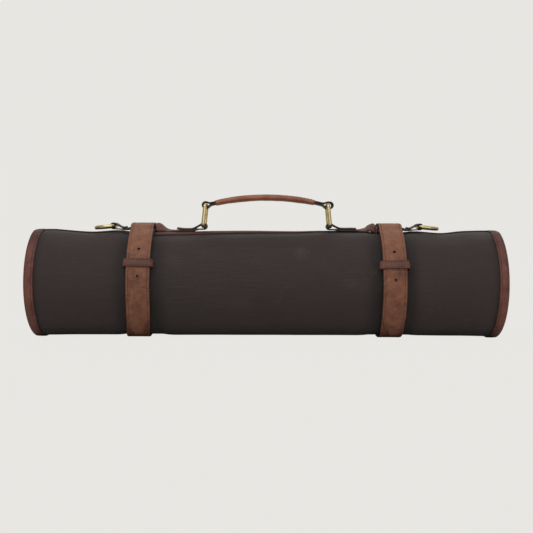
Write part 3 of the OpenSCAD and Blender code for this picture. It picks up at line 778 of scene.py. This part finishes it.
def edge_binding(name, node, at, sign, tt, leg, leg_in, thread=True):
    """Leather folded over an edge that runs along X. at is the unrolled angle of the edge, sign -1 at the free edge."""
    e = L2 - BW - 0.4
    xx = np.linspace(-e, e, 200)
    deg = 57.3 / float(sheet_r(at))
    g = 0.1
    prof = []
    n_leg = (1.0, 0.93, 0.84, 0.79, 0.74, 0.66, 0.5, 0.32, 0.15, 0.04)
    for f in n_leg:
        lift = BT + g - (0.45 if f == 1.0 else 0.28 if f == 0.79 else 0.1 if f in (0.84, 0.74) else 0)
        prof.append((f * leg, 0, lift, 0.7 if f > 0.9 else 0.1))
    prof += [(-0.6, 0, BT * 0.75, 0.3), (-1.1, 0, 0.1, 0.35), (-1.2, 0.5, 0, 0.4), (-1.1, 1, 0.1, 0.35), (-0.6, 1, BT * 0.75, 0.3)]
    for f in (0.1, 0.4, 0.7, 0.95, 1.0):
        prof.append((f * leg_in, 1, BT + g - (0.4 if f == 1.0 else 0), 0.2))
    prof += [(0.98 * leg_in, 1, g, 0.8), (0.3, 1, g, 0.8), (0.05, 0.5, 0, 0.8), (0.3, 0, g, 0.8), (0.98 * leg, 0, g, 0.8)]
    prof = np.array(prof)
    a = at - sign * prof[None, :, 0] * deg
    wave = 0.25 * wob(xx[:, None], 0 * xx[:, None], 71 + int(at), 6, 0.02, 0.02)
    a = a + wave * deg * (np.abs(prof[None, :, 0]) > leg * 0.9)
    a = np.broadcast_to(a, (len(xx), len(prof)))
    XX = np.broadcast_to(xx[:, None], a.shape)
    aq = np.clip(a, 0, END)
    r = sheet_r(aq) + soft(XX, aq) - tt * prof[None, :, 1]
    r = r + prof[None, :, 2] * np.where(prof[None, :, 1] > 0.5, -1, np.where(prof[None, :, 1] == 0.5, 0, 1))
    y, z = pol(r, phi_of(XX, aq) - (a - aq))
    P = np.stack([XX, y, z], 2)
    girth = np.concatenate([[0], np.cumsum(np.hypot(np.diff(prof[:, 0]), np.diff(prof[:, 2]) + 2 * np.diff(prof[:, 1])))])
    p = collect()
    add_grid(p, P, xx * MM, np.append(girth, girth[-1] + 0.5) * MM, np.broadcast_to(prof[None, :, 3], a.shape), closed_v=True, flip=sign > 0)
    m, n = len(prof), len(xx)
    for i in (0, n - 1):
        c = list(range(i * m, i * m + m))
        for j in range(m // 2 - 1):
            q = [c[j], c[j + 1], c[m - 2 - j], c[m - 1 - j]]
            p["f"].append(np.array([q if (i == 0) == (sign < 0) else q[::-1]]))
            p["uv"].append(np.zeros((4, 2)))
    o = finish_mesh(p, name, "roll", M_BIND, [node])
    if thread:
        th = collect()
        x5 = np.linspace(-e + 2, e - 2, 480)
        a5 = np.full_like(x5, at - sign * 0.79 * leg * deg)
        rr = sheet_r(a5) + soft(x5, a5) + BT + g - 0.16
        y, z = pol(rr, phi_of(x5, a5))
        y2, z2 = pol(rr + 1, phi_of(x5, a5))
        stitches(th, np.stack([x5, y, z], 1), np.stack([0 * y, y2 - y, z2 - z], 1), 3.5, 2.5, 0.33)
        finish_mesh(th, name + "_thread", "roll", M_THREAD_D)
    return o


eb = edge_binding("free_edge_binding", "outer_edge_binding", 0.2, -1, CT, 11.9, 11.0)
ib = edge_binding("core_edge_binding", "inner_edge_binding", END - 0.2, 1, CT + 1.2, 9.0, 8.0)


# ------------------------------------------------------------------ straps
def x_under(s, phi):
    """How far the lower layer wanders from a straight ring, in mm."""
    back = 1 - ss((-105 - phi) / 45)
    if s < 0:
        return -1.5 * bell(phi, 92, 30) - 6.9 * ss((-15 - phi) / 80) * back
    return 0.8 * bell(phi, 92, 30) + 1.4 * ss((-20 - phi) / 55) * back


def x_tail(s, phi):
    if s < 0:
        return -1.7 * bell(phi, 92, 34) - 6.2 * ss((-15 - phi) / 80)
    return 0.8 * bell(phi, 92, 34) + 2.2 * ss((-25 - phi) / 34)


def tail_in(p):
    p = np.asarray(p, float)
    over = BAR_R + 3.5
    return np.where(
        p >= 160, UR,
        np.where(p >= 142, UR + (over - UR) * ss((160 - p) / 18),
                 np.where(p >= 138, over,
                          np.where(p >= 118, TR + (over - TR) * (1 - ss((138 - p) / 20)),
                                   TR + 3.0 * (1 - ss((np.abs(p - 90) - 12) / 12))))))


def frame_yz(C, W):
    T = tangents(C)
    N = np.cross(T, W)
    N = N / np.linalg.norm(N, axis=1)[:, None]
    return N


def cut_holes(o, cutters):
    for c in cutters:
        mod = o.modifiers.new("cut", "BOOLEAN")
        mod.operation = "DIFFERENCE"
        mod.solver = "EXACT"
        mod.material_mode = "TRANSFER"
        mod.object = c
    dg = bpy.context.evaluated_depsgraph_get()
    me = bpy.data.meshes.new_from_object(o.evaluated_get(dg))
    old = o.data
    o.modifiers.clear()
    name = old.name
    o.data = me
    bpy.data.meshes.remove(old)
    me.name = name
    for c in cutters:
        mesh = c.data
        bpy.data.objects.remove(c)
        bpy.data.meshes.remove(mesh)
    me.set_sharp_from_angle(angle=math.radians(40))


def drill(x, phi, r0, r1, rad, stretch=1.0, n=28):
    """A round cutter along the radius at phi; stretch lengthens it along the strap."""
    bm = bmesh.new()
    ang = np.linspace(0, 2 * math.pi, n, endpoint=False)
    p = math.radians(phi)
    out = np.array([0, -math.cos(p), math.sin(p)])
    tan = np.array([0, math.sin(p), math.cos(p)])
    rings = []
    for r in (r0, r1):
        c = np.array([x, 0, AZ]) + out * r
        rings.append([bm.verts.new((c + rad * math.cos(t) * np.array([1, 0, 0]) + rad * stretch * math.sin(t) * tan) * MM) for t in ang])
    for i in range(n):
        bm.faces.new([rings[0][i], rings[0][(i + 1) % n], rings[1][(i + 1) % n], rings[1][i]])
    bm.faces.new(rings[0][::-1])
    bm.faces.new(rings[1])
    bmesh.ops.recalc_face_normals(bm, faces=bm.faces)
    me = bpy.data.meshes.new("cutter")
    bm.to_mesh(me)
    bm.free()
    o = bpy.data.objects.new("cutter", me)
    bpy.context.scene.collection.objects.link(o)
    o.hide_render = True
    # the cutter's material goes onto the hole walls: cut edge plus painted shade
    me.materials.append(M_HOLE_EDGE_AND_SHADE)
    return o


HOLES = {-1: (8.8, 27.9), 1: (5.7, 28.4)}


def strap_pair(s, side):
    hw = 12.45
    # lower layer: from its rivet low on the back, under the roll, up the front, over the top to the buckle
    phi = np.arange(-155.5, 136.5, 1.5)
    r_mid = UR + UT / 2 + 0.0
    y, z = pol(np.full_like(phi, r_mid), phi)
    x = s * SX + x_under(s, phi)
    C = [np.stack([x, y, z], 1)]
    # round the buckle's bar
    by, bz = pol(BAR_R, BAR_PHI)
    p = math.radians(BAR_PHI)
    out = np.array([-math.cos(p), math.sin(p)])
    tan = np.array([math.sin(p), math.cos(p)])  # towards a lower radius angle, seen from outside
    eye = []
    for b in np.arange(-80, 95, 14):
        t = math.radians(b)
        eye.append(np.array([by, bz]) + 2.65 * (math.cos(t) * -tan * -1 * -1 + math.sin(t) * out))
    eye = np.array(eye)
    C.append(np.stack([np.full(len(eye), s * SX), eye[:, 0], eye[:, 1]], 1))
    fold = []
    for ph, r in ((137, 62.9), (134, 61.6), (131, 60.55), (128, 60.35)):
        yy, zz = pol(r, ph)
        fold.append([s * SX, yy, zz])
    C.append(np.array(fold))
    C = resample(smooth(np.concatenate(C), 1), 1.6)
    C = smooth(C, 2)
    W = np.tile([1.0, 0, 0], (len(C), 1))
    N = frame_yz(C, W)
    mid = C[len(C) // 2]
    flipn = np.sign((N * (C - np.array([0, 0, AZ]))).sum(1)[20])
    N = N * flipn
    n = len(C)
    sarr = np.concatenate([[0], np.cumsum(np.linalg.norm(np.diff(C, axis=0), axis=1))])
    left = sarr[-1] - sarr
    tsc = 1 - 0.28 * ss((22 - left) / 12)  # skived where it folds round the bar
    part = collect()
    P = ribbon(part, C, W, N, hw=hw, t=UT, tscale=tsc, grooves=(-9.8, 9.8), crown=0.0)
    for v in part["v"]:
        v[:, 2] = np.maximum(v[:, 2], 0.0)
    o = finish_mesh(part, f"{side}_lower_strap", "roll", M_STRAP, [f"{side}_buckle_strap"])
    cut_holes(o, [drill(s * SX, 211, 50, 66, 1.7), drill(s * SX, BAR_PHI + 0.6, 59.6, 70, 2.3, 2.3)])
    th = collect()
    keep = (sarr > 4) & (left > 26)
    for g in (-9.8, 9.8):
        line = C[keep] + g * W[keep] + (UT / 2 - 0.16) * N[keep]
        line[:, 2] = np.maximum(line[:, 2], 0.12)
        stitches(th, line, N[keep], 3.4, 2.5, 0.32)
    for v in th["v"]:
        v[:, 2] = np.maximum(v[:, 2], 0.0)
    finish_mesh(th, f"{side}_lower_strap_thread", "roll", M_THREAD)

    # upper layer: from its rivet low on the back, through the buckle, over the top and down the front
    phi = np.arange(203, TIP - 0.01, -1.0)
    rin = tail_in(phi)
    lift = 0.35 * ss((-5 - phi) / 40) + 0.12 * np.sin(np.radians(phi) * 7) * (phi < 60)
    lift = np.maximum(lift, 0) * (1 - bell(phi, 21, 8))
    y, z = pol(rin + TT / 2 + lift * (phi < -38), phi)
    x = s * SX + x_tail(s, phi)
    C = smooth(np.stack([x, y, z], 1), 2)
    W = np.tile([1.0, 0, 0], (len(C), 1))
    N = frame_yz(C, W)
    N = N * np.sign((N * (C - np.array([0, 0, AZ]))).sum(1)[30])
    sarr = np.concatenate([[0], np.cumsum(np.linalg.norm(np.diff(C, axis=0), axis=1))])
    left = sarr[-1] - sarr
    # add close stations at the tip so that it comes to a rounded point
    target = np.concatenate([np.arange(0, sarr[-1] - 36, 1.1), sarr[-1] - np.array([36, 35, 34, 33, 32, 31, 29, 27, 25, 23, 21, 19, 17, 15, 13, 11, 9, 7.5, 6, 5, 4.2, 3.4, 2.7, 2.1, 1.5, 1.0, 0.6, 0.3, 0.12, 0.0])])
    def re(V):
        return np.stack([np.interp(target, sarr, V[:, k]) for k in range(3)], 1)
    C, N = re(C), re(N)
    N = N / np.linalg.norm(N, axis=1)[:, None]
    W = np.tile([1.0, 0, 0], (len(C), 1))
    left = sarr[-1] - target
    nose = 29.0
    u = np.clip((left - 4.2) / (nose - 4.2), 0, 1)
    sc = np.where(left < 4.2, 0.40 * np.sqrt(np.clip(1 - ((4.2 - left) / 4.2) ** 2, 0, 1)), 0.40 + 0.60 * u)
    sc = np.clip(sc, 0.03, 1)
    part = collect()
    P = ribbon(part, C, W, N, hw=hw, t=TT, scale=sc, grooves=(-9.8, 9.8), crown=0.12,
               wear_add=0.25 * (1 - np.clip(left / 6, 0, 1)))
    o = finish_mesh(part, f"{side}_upper_strap", "roll", M_STRAP, [f"{side}_tip_strap"])
    h0, st = HOLES[s]
    cuts = [drill(s * SX + float(x_tail(s, np.array(h0 + k * st))), h0 + k * st, 55, 72, 1.5) for k in range(2)]
    cuts.append(drill(s * SX, 149.4, 55, 72, 1.8, 4.0))
    cuts.append(drill(s * SX, 196, 50, 66, 1.7))
    cut_holes(o, cuts)
    th = collect()
    for g in (-9.8, 9.8):
        keep = (left > nose * 0.95) & (target > 4)
        off = np.where(keep, g, g)
        line = C + (g * np.clip(sc, 0, 1))[:, None] * W + (TT / 2 + 0.05 - 0.1)* N
        sel = (target > 4) & (left > 6.5)
        stitches(th, line[sel], N[sel], 3.4, 2.5, 0.32)
    finish_mesh(th, f"{side}_upper_strap_thread", "roll", M_THREAD)

    # keeper loop
    kp = KEEPER[s]
    p = math.radians(kp)
    out = np.array([0, -math.cos(p), math.sin(p)])
    up = np.array([0, math.sin(p), math.cos(p)])
    ro, ri = 63.45, 56.5
    outline = [(-12.6, ro), (-9, ro + 0.05), (-4, ro + 0.1), (0, ro + 0.12), (4, ro + 0.1), (9, ro + 0.05), (12.6, ro),
               (13.7, ro - 0.5), (14.6, ro - 1.6), (14.95, ro - 2.8), (14.9, 59.0), (14.7, 57.6), (14.2, 56.8), (13, ri), (6, ri), (0, ri), (-6, ri), (-13, ri),
               (-14.2, 56.8), (-14.7, 57.6), (-14.9, 59.0), (-14.95, ro - 2.8), (-14.6, ro - 1.6), (-13.7, ro - 0.5)]
    q = resample(np.array(outline), 0.8, closed=True)
    q = smooth(q, 2, closed=True)
    C = np.array([s * SX, 0, AZ]) + np.outer(q[:, 0], [1, 0, 0]) + np.outer(q[:, 1], out)
    T = tangents(C, closed=True)
    W = np.tile(up, (len(C), 1))
    N = np.cross(W, T)
    cen = C.mean(0)
    if ((C - cen) * N).sum() < 0:
        N = -N
    thick = np.where(q[:, 1] < 57.4, 0.8 / 1.7, 1.0)
    thick = smooth(np.stack([thick], 1), 3, closed=True)[:, 0]
    tilt = 0.018 * s
    C = C + np.outer(q[:, 0] * tilt, up)
    part = collect()
    ribbon(part, C, W, N, hw=4.45, t=1.7, tscale=thick, grooves=(-2.9, 2.9), closed=True, cap=False, k=7, crown=0.15)
    # the loop bends with the strap round the roll
    for v in part["v"]:
        d = (v - np.array([0, 0, AZ])) @ up
        v -= np.outer(d ** 2 / (2 * 62.0), out)
    ko = finish_mesh(part, f"{side}_strap_keeper", f"{side}_loop", M_KEEP, [f"{side}_keeper"])
    th = collect()
    front = (q[:, 1] > 62.9) & (np.abs(q[:, 0]) < 12.2)
    idx = np.where(front)[0]
    idx = idx[np.argsort(q[idx, 0])]
    for g in (-2.9, 2.9):
        line = C[idx] + g * W[idx] + (0.85 + 0.02) * N[idx]
        line = line - np.outer(np.full(len(idx), g ** 2 / 124.0), out)
        stitches(th, line, N[idx], 2.7, 1.9, 0.3)
    finish_mesh(th, f"{side}_strap_keeper_thread", f"{side}_loop", M_THREAD_D)


strap_pair(-1, "left")
strap_pair(1, "right")


# ------------------------------------------------------------------ strips that hold the rings
DROP = {-1: 0.0, 1: 0.0}  # how far the outer ends sag with the canvas


def mount_strip(s, side):
    t = 1.8
    rz, rx = 61.4, 68.7
    dz, dx = 61.4, 166.0
    re, de = 2.3 + t / 2, 2.3 + t / 2
    z0 = 57.3 + t / 2
    up = 59.7 + t / 2
    ed = (SX - 12.45 + (1.7 if s < 0 else -0.8)) - 121.2
    lo = 0.0 if s < 0 else 0.8
    pts = [(97, z0 + t + 0.9 - lo), (95, z0 + t + 0.8 - lo), (92, z0 + t + 0.25), (88, z0 + t + 0.02), (83, z0 + t + 0.02), (79.2, z0 + t + 0.12), (76.3, z0 + t + 0.9), (73.2, z0 + t + 2.2)]
    for b in np.arange(68, 271, 14):
        pts.append((rx + re * math.cos(math.radians(b)), rz + re * math.sin(math.radians(b))))
    pts += [(71, z0), (76, z0), (84, z0), (95, z0), (101, z0 + lo * 0.3), (105.5, z0 + 0.5 + lo), (109, z0 + 1.6 + lo), (112.2 + ed, z0 + 3.3 + lo), (115 + ed, z0 + 5.2), (117.3 + ed, up + 3.7), (119.0 + ed, up + 3.9),
            (119.95 + ed, up + 3.1), (120.1 + ed, up + 1.4), (120.6 + ed, up + 0.3), (122.5, up + 0.05), (124, up + 0.1), (132, up + 0.1), (140, up + 0.1), (145.7, up),
            (149, z0 + 1.2), (152.5, z0 + 0.1), (158, z0), (163, z0)]
    for b in np.arange(-90, 109, 14):
        pts.append((dx + de * math.cos(math.radians(b)), dz + de * math.sin(math.radians(b))))
    pts += [(161.6, z0 + t + 2.2), (158.6, z0 + t + 0.9), (156, z0 + t + 0.12), (154, z0 + t + 0.2), (152.8, z0 + t + 0.4)]
    q = resample(np.array(pts), 0.8)
    q = smooth(q, 2)
    T = np.gradient(q, axis=0)
    T /= np.linalg.norm(T, axis=1)[:, None]
    C = np.stack([s * q[:, 0], 0 * q[:, 0], AZ + q[:, 1]], 1)
    W = np.tile([0, 1.0, 0], (len(C), 1))
    Nn = np.stack([s * -T[:, 1], 0 * T[:, 0], T[:, 0]], 1)
    # good side out: away from the bars
    mid = len(q) // 2
    if Nn[mid, 2] < 0:
        Nn = -Nn
    part = collect()
    # dark where it is folded and handled, browner between
    ax = np.abs(C[:, 0])
    fold = 0.5 * (1 - ss((ax - 75) / 9)) + 0.5 * ss((ax - 152) / 8)
    thin = 1 - 0.3 * ss((ax - 153) / 6) - 0.2 * (1 - ss((ax - 74) / 6))
    ribbon(part, C, W, Nn, hw=9.75, t=t, tscale=thin, grooves=(-7.6, 7.6), k=9, wear_add=fold)

    def settle(ax, y):
        """The strip lies along the roll, dips with it, and stays put near the bars."""
        k = ss((ax - rx - 5) / 9) * ss((dx - 4 - ax) / 9)
        out = -k * (57.3 - np.sqrt(57.3 ** 2 - y ** 2)) * 0.95
        dip = np.minimum(0.0, curve(s * ax, TOP) + 0.25) - (1.15 if s < 0 else 0.5)
        inner = ss((ax - rx - 5) / 9) * (1 - ss((ax - 106) / 9))
        outer = ss((ax - 146) / 6)
        # where it humps up to the strap its near edge hangs down
        rise = np.interp(ax, [96, 101, 105, 109, 112, 115, 117.5, 119.5], [0, 0.2, 1.1, 2.4, 4.3, 6.2, 7.2, 6.8], right=0) + (0.9 * ss((ax - 97) / 6) * (ax < 119.5) if s > 0 else 0)
        hang = -1.08 * rise * np.where(y < 0, np.abs(y / 9.75) ** 1.6, 0.35 * np.abs(y / 9.75) ** 1.6)
        return out + dip * inner + hang - np.where(ax > 146, DROP[s] * outer, 0.0)

    for v in part["v"]:
        ax = np.abs(v[:, 0])
        v[:, 2] += settle(ax, v[:, 1])
    finish_mesh(part, f"{side}_ring_strip", "roll", M_STRIP, [f"{side}_mount_strip"])
    th = collect()
    sarr = np.concatenate([[0], np.cumsum(np.linalg.norm(np.diff(C, axis=0), axis=1))])
    runs = [(q[:, 0] > 80) & (q[:, 0] < 95) & (q[:, 1] > z0 + t * 0.6) & (sarr < 60),
            (q[:, 0] > 99) & (q[:, 0] < 113) & (q[:, 1] < z0 + 0.6)]
    for run in runs:
        if run.sum() < 4:
            continue
        for g in (-7.6, 7.6):
            nn = Nn[run].copy()
            nn[nn[:, 2] < 0] *= -1
            line = C[run] + g * W[run] + (t / 2 - 0.12) * nn
            line[:, 2] += settle(np.abs(line[:, 0]), line[:, 1])
            stitches(th, line, nn, 3.2, 2.3, 0.3, start=0.2)
    finish_mesh(th, f"{side}_ring_strip_thread", "roll", M_THREAD_D)


mount_strip(-1, "left")
mount_strip(1, "right")

# ------------------------------------------------------------------ handle
GR, GZ = 258.0, 92.8
TX, TZ = 66.3, 84.4


def grip_point(x):
    return AZ + GZ - GR + np.sqrt(GR ** 2 - x ** 2)


def handle():
    t = 1.8
    part = collect()
    slope = math.atan2(GZ - GR + math.sqrt(GR ** 2 - 54.5 ** 2) - TZ, 54.5 - TX)
    d = np.array([math.cos(slope), math.sin(slope)])   # towards the grip, on the right side
    e = np.array([d[1], -d[0]])                        # upwards
    if e[1] < 0:
        e = -e
    for s in (-1, 1):
        ext = 2.2 if s > 0 else 0.0
        re = 2.5 + t / 2
        loc = [(30, 0.95), (24, 0.95), (18, 0.95), (14, 0.95), (11, 0.95), (8.6, 0.95), (7, 0.95), (5.9, 0.97), (4.9, 1.12), (4.0, 1.5), (3.1, 2.05)]
        for b in np.arange(52, 309, 12):
            bb = math.radians(b)
            far = ext if math.cos(bb) < 0.1 else 0
            loc.append((re * math.cos(bb) - 0.977 * far, re * math.sin(bb) + 0.213 * far))
        loc += [(3.1, -2.05), (4.0, -1.5), (4.9, -1.12), (5.9, -0.97), (7, -0.95), (8.6, -0.95), (11, -0.95), (14, -0.95), (18, -0.95), (24, -0.95), (30, -0.95)]
        q = resample(np.array(loc), 0.9)
        q = smooth(q, 2)
        # far from the loop the layers follow the arch
        pts = []
        for a, b in q:
            p = np.array([TX, TZ]) + a * d + b * e
            x = p[0]
            if a > 11:
                k = min(1, (a - 11) / 4)
                zc = GZ - GR + math.sqrt(GR ** 2 - x ** 2)
                straight = (np.array([TX, TZ]) + a * d)[1]
                p = p + np.array([0, k * (zc - straight)])
            pts.append(p)
        q2 = np.array(pts)
        T = np.gradient(q2, axis=0)
        T /= np.linalg.norm(T, axis=1)[:, None]
        C = np.stack([s * q2[:, 0], 0 * q2[:, 0], AZ + q2[:, 1]], 1)
        N = np.stack([s * -T[:, 1], 0 * T[:, 0], T[:, 0]], 1)
        cen = np.array([s * (TX - 8), 0, AZ + TZ + 1.8])
        if ((C - cen) * N).sum() < 0:
            N = -N
        W = np.tile([0, 1.0, 0], (len(C), 1))
        ribbon(part, C, W, N, hw=8.9, t=t, k=7, grooves=(-6.8, 6.8))
    # core between the loops, inside the grip
    x = np.linspace(-42, 42, 40)
    C = np.stack([x, 0 * x, grip_point(x)], 1)
    T = tangents(C)
    W = np.tile([0, 1.0, 0], (len(C), 1))
    N = np.cross(T, W)
    if N[20, 2] < 0:
        N = -N
    ribbon(part, C, W, N, hw=8.9, t=3.6, k=5)
    o = finish_mesh(part, "handle_core", "handle", M_CORE, ["handle_strap"])
    th = collect()
    for s in (-1, 1):
        for g in (-6.8, 6.8):
            a = np.linspace(6.0, 10.8, 12)
            mid = np.array([TX, TZ])[None] + a[:, None] * d
            off = np.interp(a, [4.0, 4.9, 5.9, 14], [1.5, 1.12, 0.97, 0.95]) + t / 2 - 0.1
            p = mid + off[:, None] * e
            line = np.stack([s * p[:, 0], np.full(len(a), g), AZ + p[:, 1]], 1)
            nn = np.tile([s * e[0], 0, e[1]], (len(a), 1))
            stitches(th, line, nn, 2.6, 1.9, 0.3, start=0.05)
    finish_mesh(th, "handle_core_thread", "handle", M_THREAD_D)

    # the sewn grip
    part = collect()
    x = np.concatenate([[-53.0, -52.9, -52.6, -52.0], np.linspace(-51, 51, 86), [52.0, 52.6, 52.9, 53.0]])
    gx = np.interp(x, [-53, 53], [-55.8, 52.2])
    zc = grip_point(gx)
    C = np.stack([gx, 0 * x, zc], 1)
    T = tangents(C)
    W = np.tile([0, 1.0, 0], (len(C), 1))
    N = np.cross(T, W)
    if N[20, 2] < 0:
        N = -N
    m = 56
    th_ = np.linspace(0, 2 * math.pi, m, endpoint=False)
    hw, ht = 10.9, 3.35
    ct, st = np.cos(th_), np.sin(th_)
    yy = hw * np.sign(ct) * np.abs(ct) ** (2 / 2.6)
    zz = ht * np.sign(st) * np.abs(st) ** (2 / 2.3)
    # sewn lower edge: a flat lip where the leather's two edges meet, on the back side, is worked out here but not put
    # into the section
    lip = np.exp(-(((th_ - math.radians(352)) / 0.10) ** 2)) + np.exp(-(((th_ + math.radians(8)) / 0.10) ** 2))
    sec = np.stack([yy, zz, 0.0 * yy], 1)
    ends = np.clip((53.0 - np.abs(x)) / 1.2, 0, 1)
    rnd = 0.80 + 0.20 * np.sqrt(np.clip(1 - (1 - ends) ** 2, 0, 1))
    tap = 1 - 0.13 * ss((np.abs(x) - 30) / 23)
    wv = 1 + 0.02 * np.sin(x * 0.21) + 0.015 * np.sin(x * 0.53 + 1)
    P = ribbon(part, C, W, N, shape=sec, scale=rnd * (1 - 0.04 * ss((np.abs(x) - 30) / 23)) * wv, tscale=rnd * tap * wv,
               wear_add=0.9 * (1 - np.clip((53.0 - np.abs(x)) / 1.4, 0, 1)))
    g = finish_mesh(part, "sewn_grip", "handle", M_GRIP, ["handle_grip"])
    th = collect()
    sel = np.abs(x) < 50.5
    for yq, zq, ny, nz in ((8.2, 2.88, 0.35, 0.94), (-8.2, 2.88, -0.35, 0.94)):
        line = C[sel] + yq * W[sel] + (zq * tap[sel])[:, None] * N[sel]
        nn = ny * W[sel] + nz * N[sel]
        stitches(th, line, nn, 3.2, 2.3, 0.3, sink=0.02)
    finish_mesh(th, "sewn_grip_thread", "handle", M_THREAD)
    return g


grip = handle()

# ------------------------------------------------------------------ metal
for n in ("left_handle_ring", "right_handle_ring", "left_d_ring", "right_d_ring", "left_buckle_frame", "right_buckle_frame",
          "left_buckle_prong", "right_buckle_prong", "strap_rivets"):
    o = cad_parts[n]
    o.data.materials.clear()
    o.data.materials.append(M_BRASS)

# ------------------------------------------------------------------ floor, light, camera
def stage():
    n = 40
    prof = [(-3.0, 0.0), (-1.0, 0.0), (1.5, 0.0)]
    for b in np.linspace(0, 90, 16)[1:]:
        t = math.radians(b)
        prof.append((1.5 + 1.6 * math.sin(t), 1.6 - 1.6 * math.cos(t)))
    prof.append((3.1, 4.0))
    xs = np.linspace(-4, 4, 9)
    verts = [(x, y, z) for x in xs for y, z in prof]
    k = len(prof)
    faces = [(i * k + j, (i + 1) * k + j, (i + 1) * k + j + 1, i * k + j + 1) for i in range(len(xs) - 1) for j in range(k - 1)]
    me = bpy.data.meshes.new("studio_floor")
    me.from_pydata(verts, [], faces)
    me.polygons.foreach_set("use_smooth", [True] * len(me.polygons))
    o = bpy.data.objects.new("studio_floor", me)
    bpy.context.scene.collection.objects.link(o)
    m = Mat("studio_floor")
    c = m.noise(m.coords("Object"), 3, 2, 0.5)
    pale = m.mix(m.range(c, 0.3, 0.7, 0, 1), lin(233, 232, 228), lin(232, 231, 227))
    m.put(m.b.inputs["Base Color"], pale)
    m.b.inputs["Roughness"].default_value = 0.9
    m.b.inputs["Specular IOR Level"].default_value = 0.0
    glow = m.n("ShaderNodeEmission")
    glow.inputs["Color"].default_value = lin(232, 231, 227) + (1,)
    path = m.n("ShaderNodeLightPath")
    mx = m.n("ShaderNodeMixShader")
    m.put(mx.inputs[0], m.math("MULTIPLY", path.outputs["Is Camera Ray"], 0.985))
    m.link(m.b.outputs[0], mx.inputs[1])
    m.link(glow.outputs[0], mx.inputs[2])
    m.link(mx.outputs[0], m.out.inputs[0])
    me.materials.append(m.m)


stage()


def area(name, loc, target, size, power, color=(1, 1, 1)):
    l = bpy.data.lights.new(name, "AREA")
    l.shape = "RECTANGLE"
    l.size, l.size_y = size
    l.energy = power
    l.color = color
    o = bpy.data.objects.new(name, l)
    bpy.context.scene.collection.objects.link(o)
    o.location = loc
    o.rotation_euler = (Vector(target) - Vector(loc)).to_track_quat("-Z", "Y").to_euler()
    return o


area("key", (-0.3, -1.0, 2.0), (0, 0, 0.06), (2.2, 1.2), 16)
area("front_fill", (0.4, -2.4, 0.6), (0, 0, 0.06), (2.4, 1.0), 8)
area("back", (0.3, 1.6, 1.8), (0, 0.2, 0.1), (2.5, 1.2), 9)
world = bpy.data.worlds.new("studio")
bpy.context.scene.world = world
world.use_nodes = True
wt = world.node_tree
bg = wt.nodes["Background"]
bg.inputs[0].default_value = lin(232, 231, 227) + (1,)
wp = wt.nodes.new("ShaderNodeLightPath")
wm = wt.nodes.new("ShaderNodeMapRange")
wt.links.new(wp.outputs["Is Camera Ray"], wm.inputs["Value"])
wm.inputs["To Min"].default_value = 0.45
wm.inputs["To Max"].default_value = 1.0
wt.links.new(wm.outputs[0], bg.inputs[1])
bpy.context.scene.view_settings.view_transform = "Standard"

cam = bpy.data.cameras.new("camera")
cam.lens = 55.5
cam.sensor_width = 36
cam.clip_start = 0.05
co = bpy.data.objects.new("camera", cam)
bpy.context.scene.collection.objects.link(co)
D = 0.9
cz = AZ * MM + 0.050
co.location = (0.0, -D, cz)
pitch = math.atan2(0.050, D) - 16.0 / 821.0
co.rotation_mode = "QUATERNION"
co.rotation_quaternion = (Matrix.Rotation(math.radians(90) - pitch, 4, "X") @ Matrix.Rotation(math.radians(0.2), 4, "Z")).to_quaternion()
bpy.context.scene.camera = co
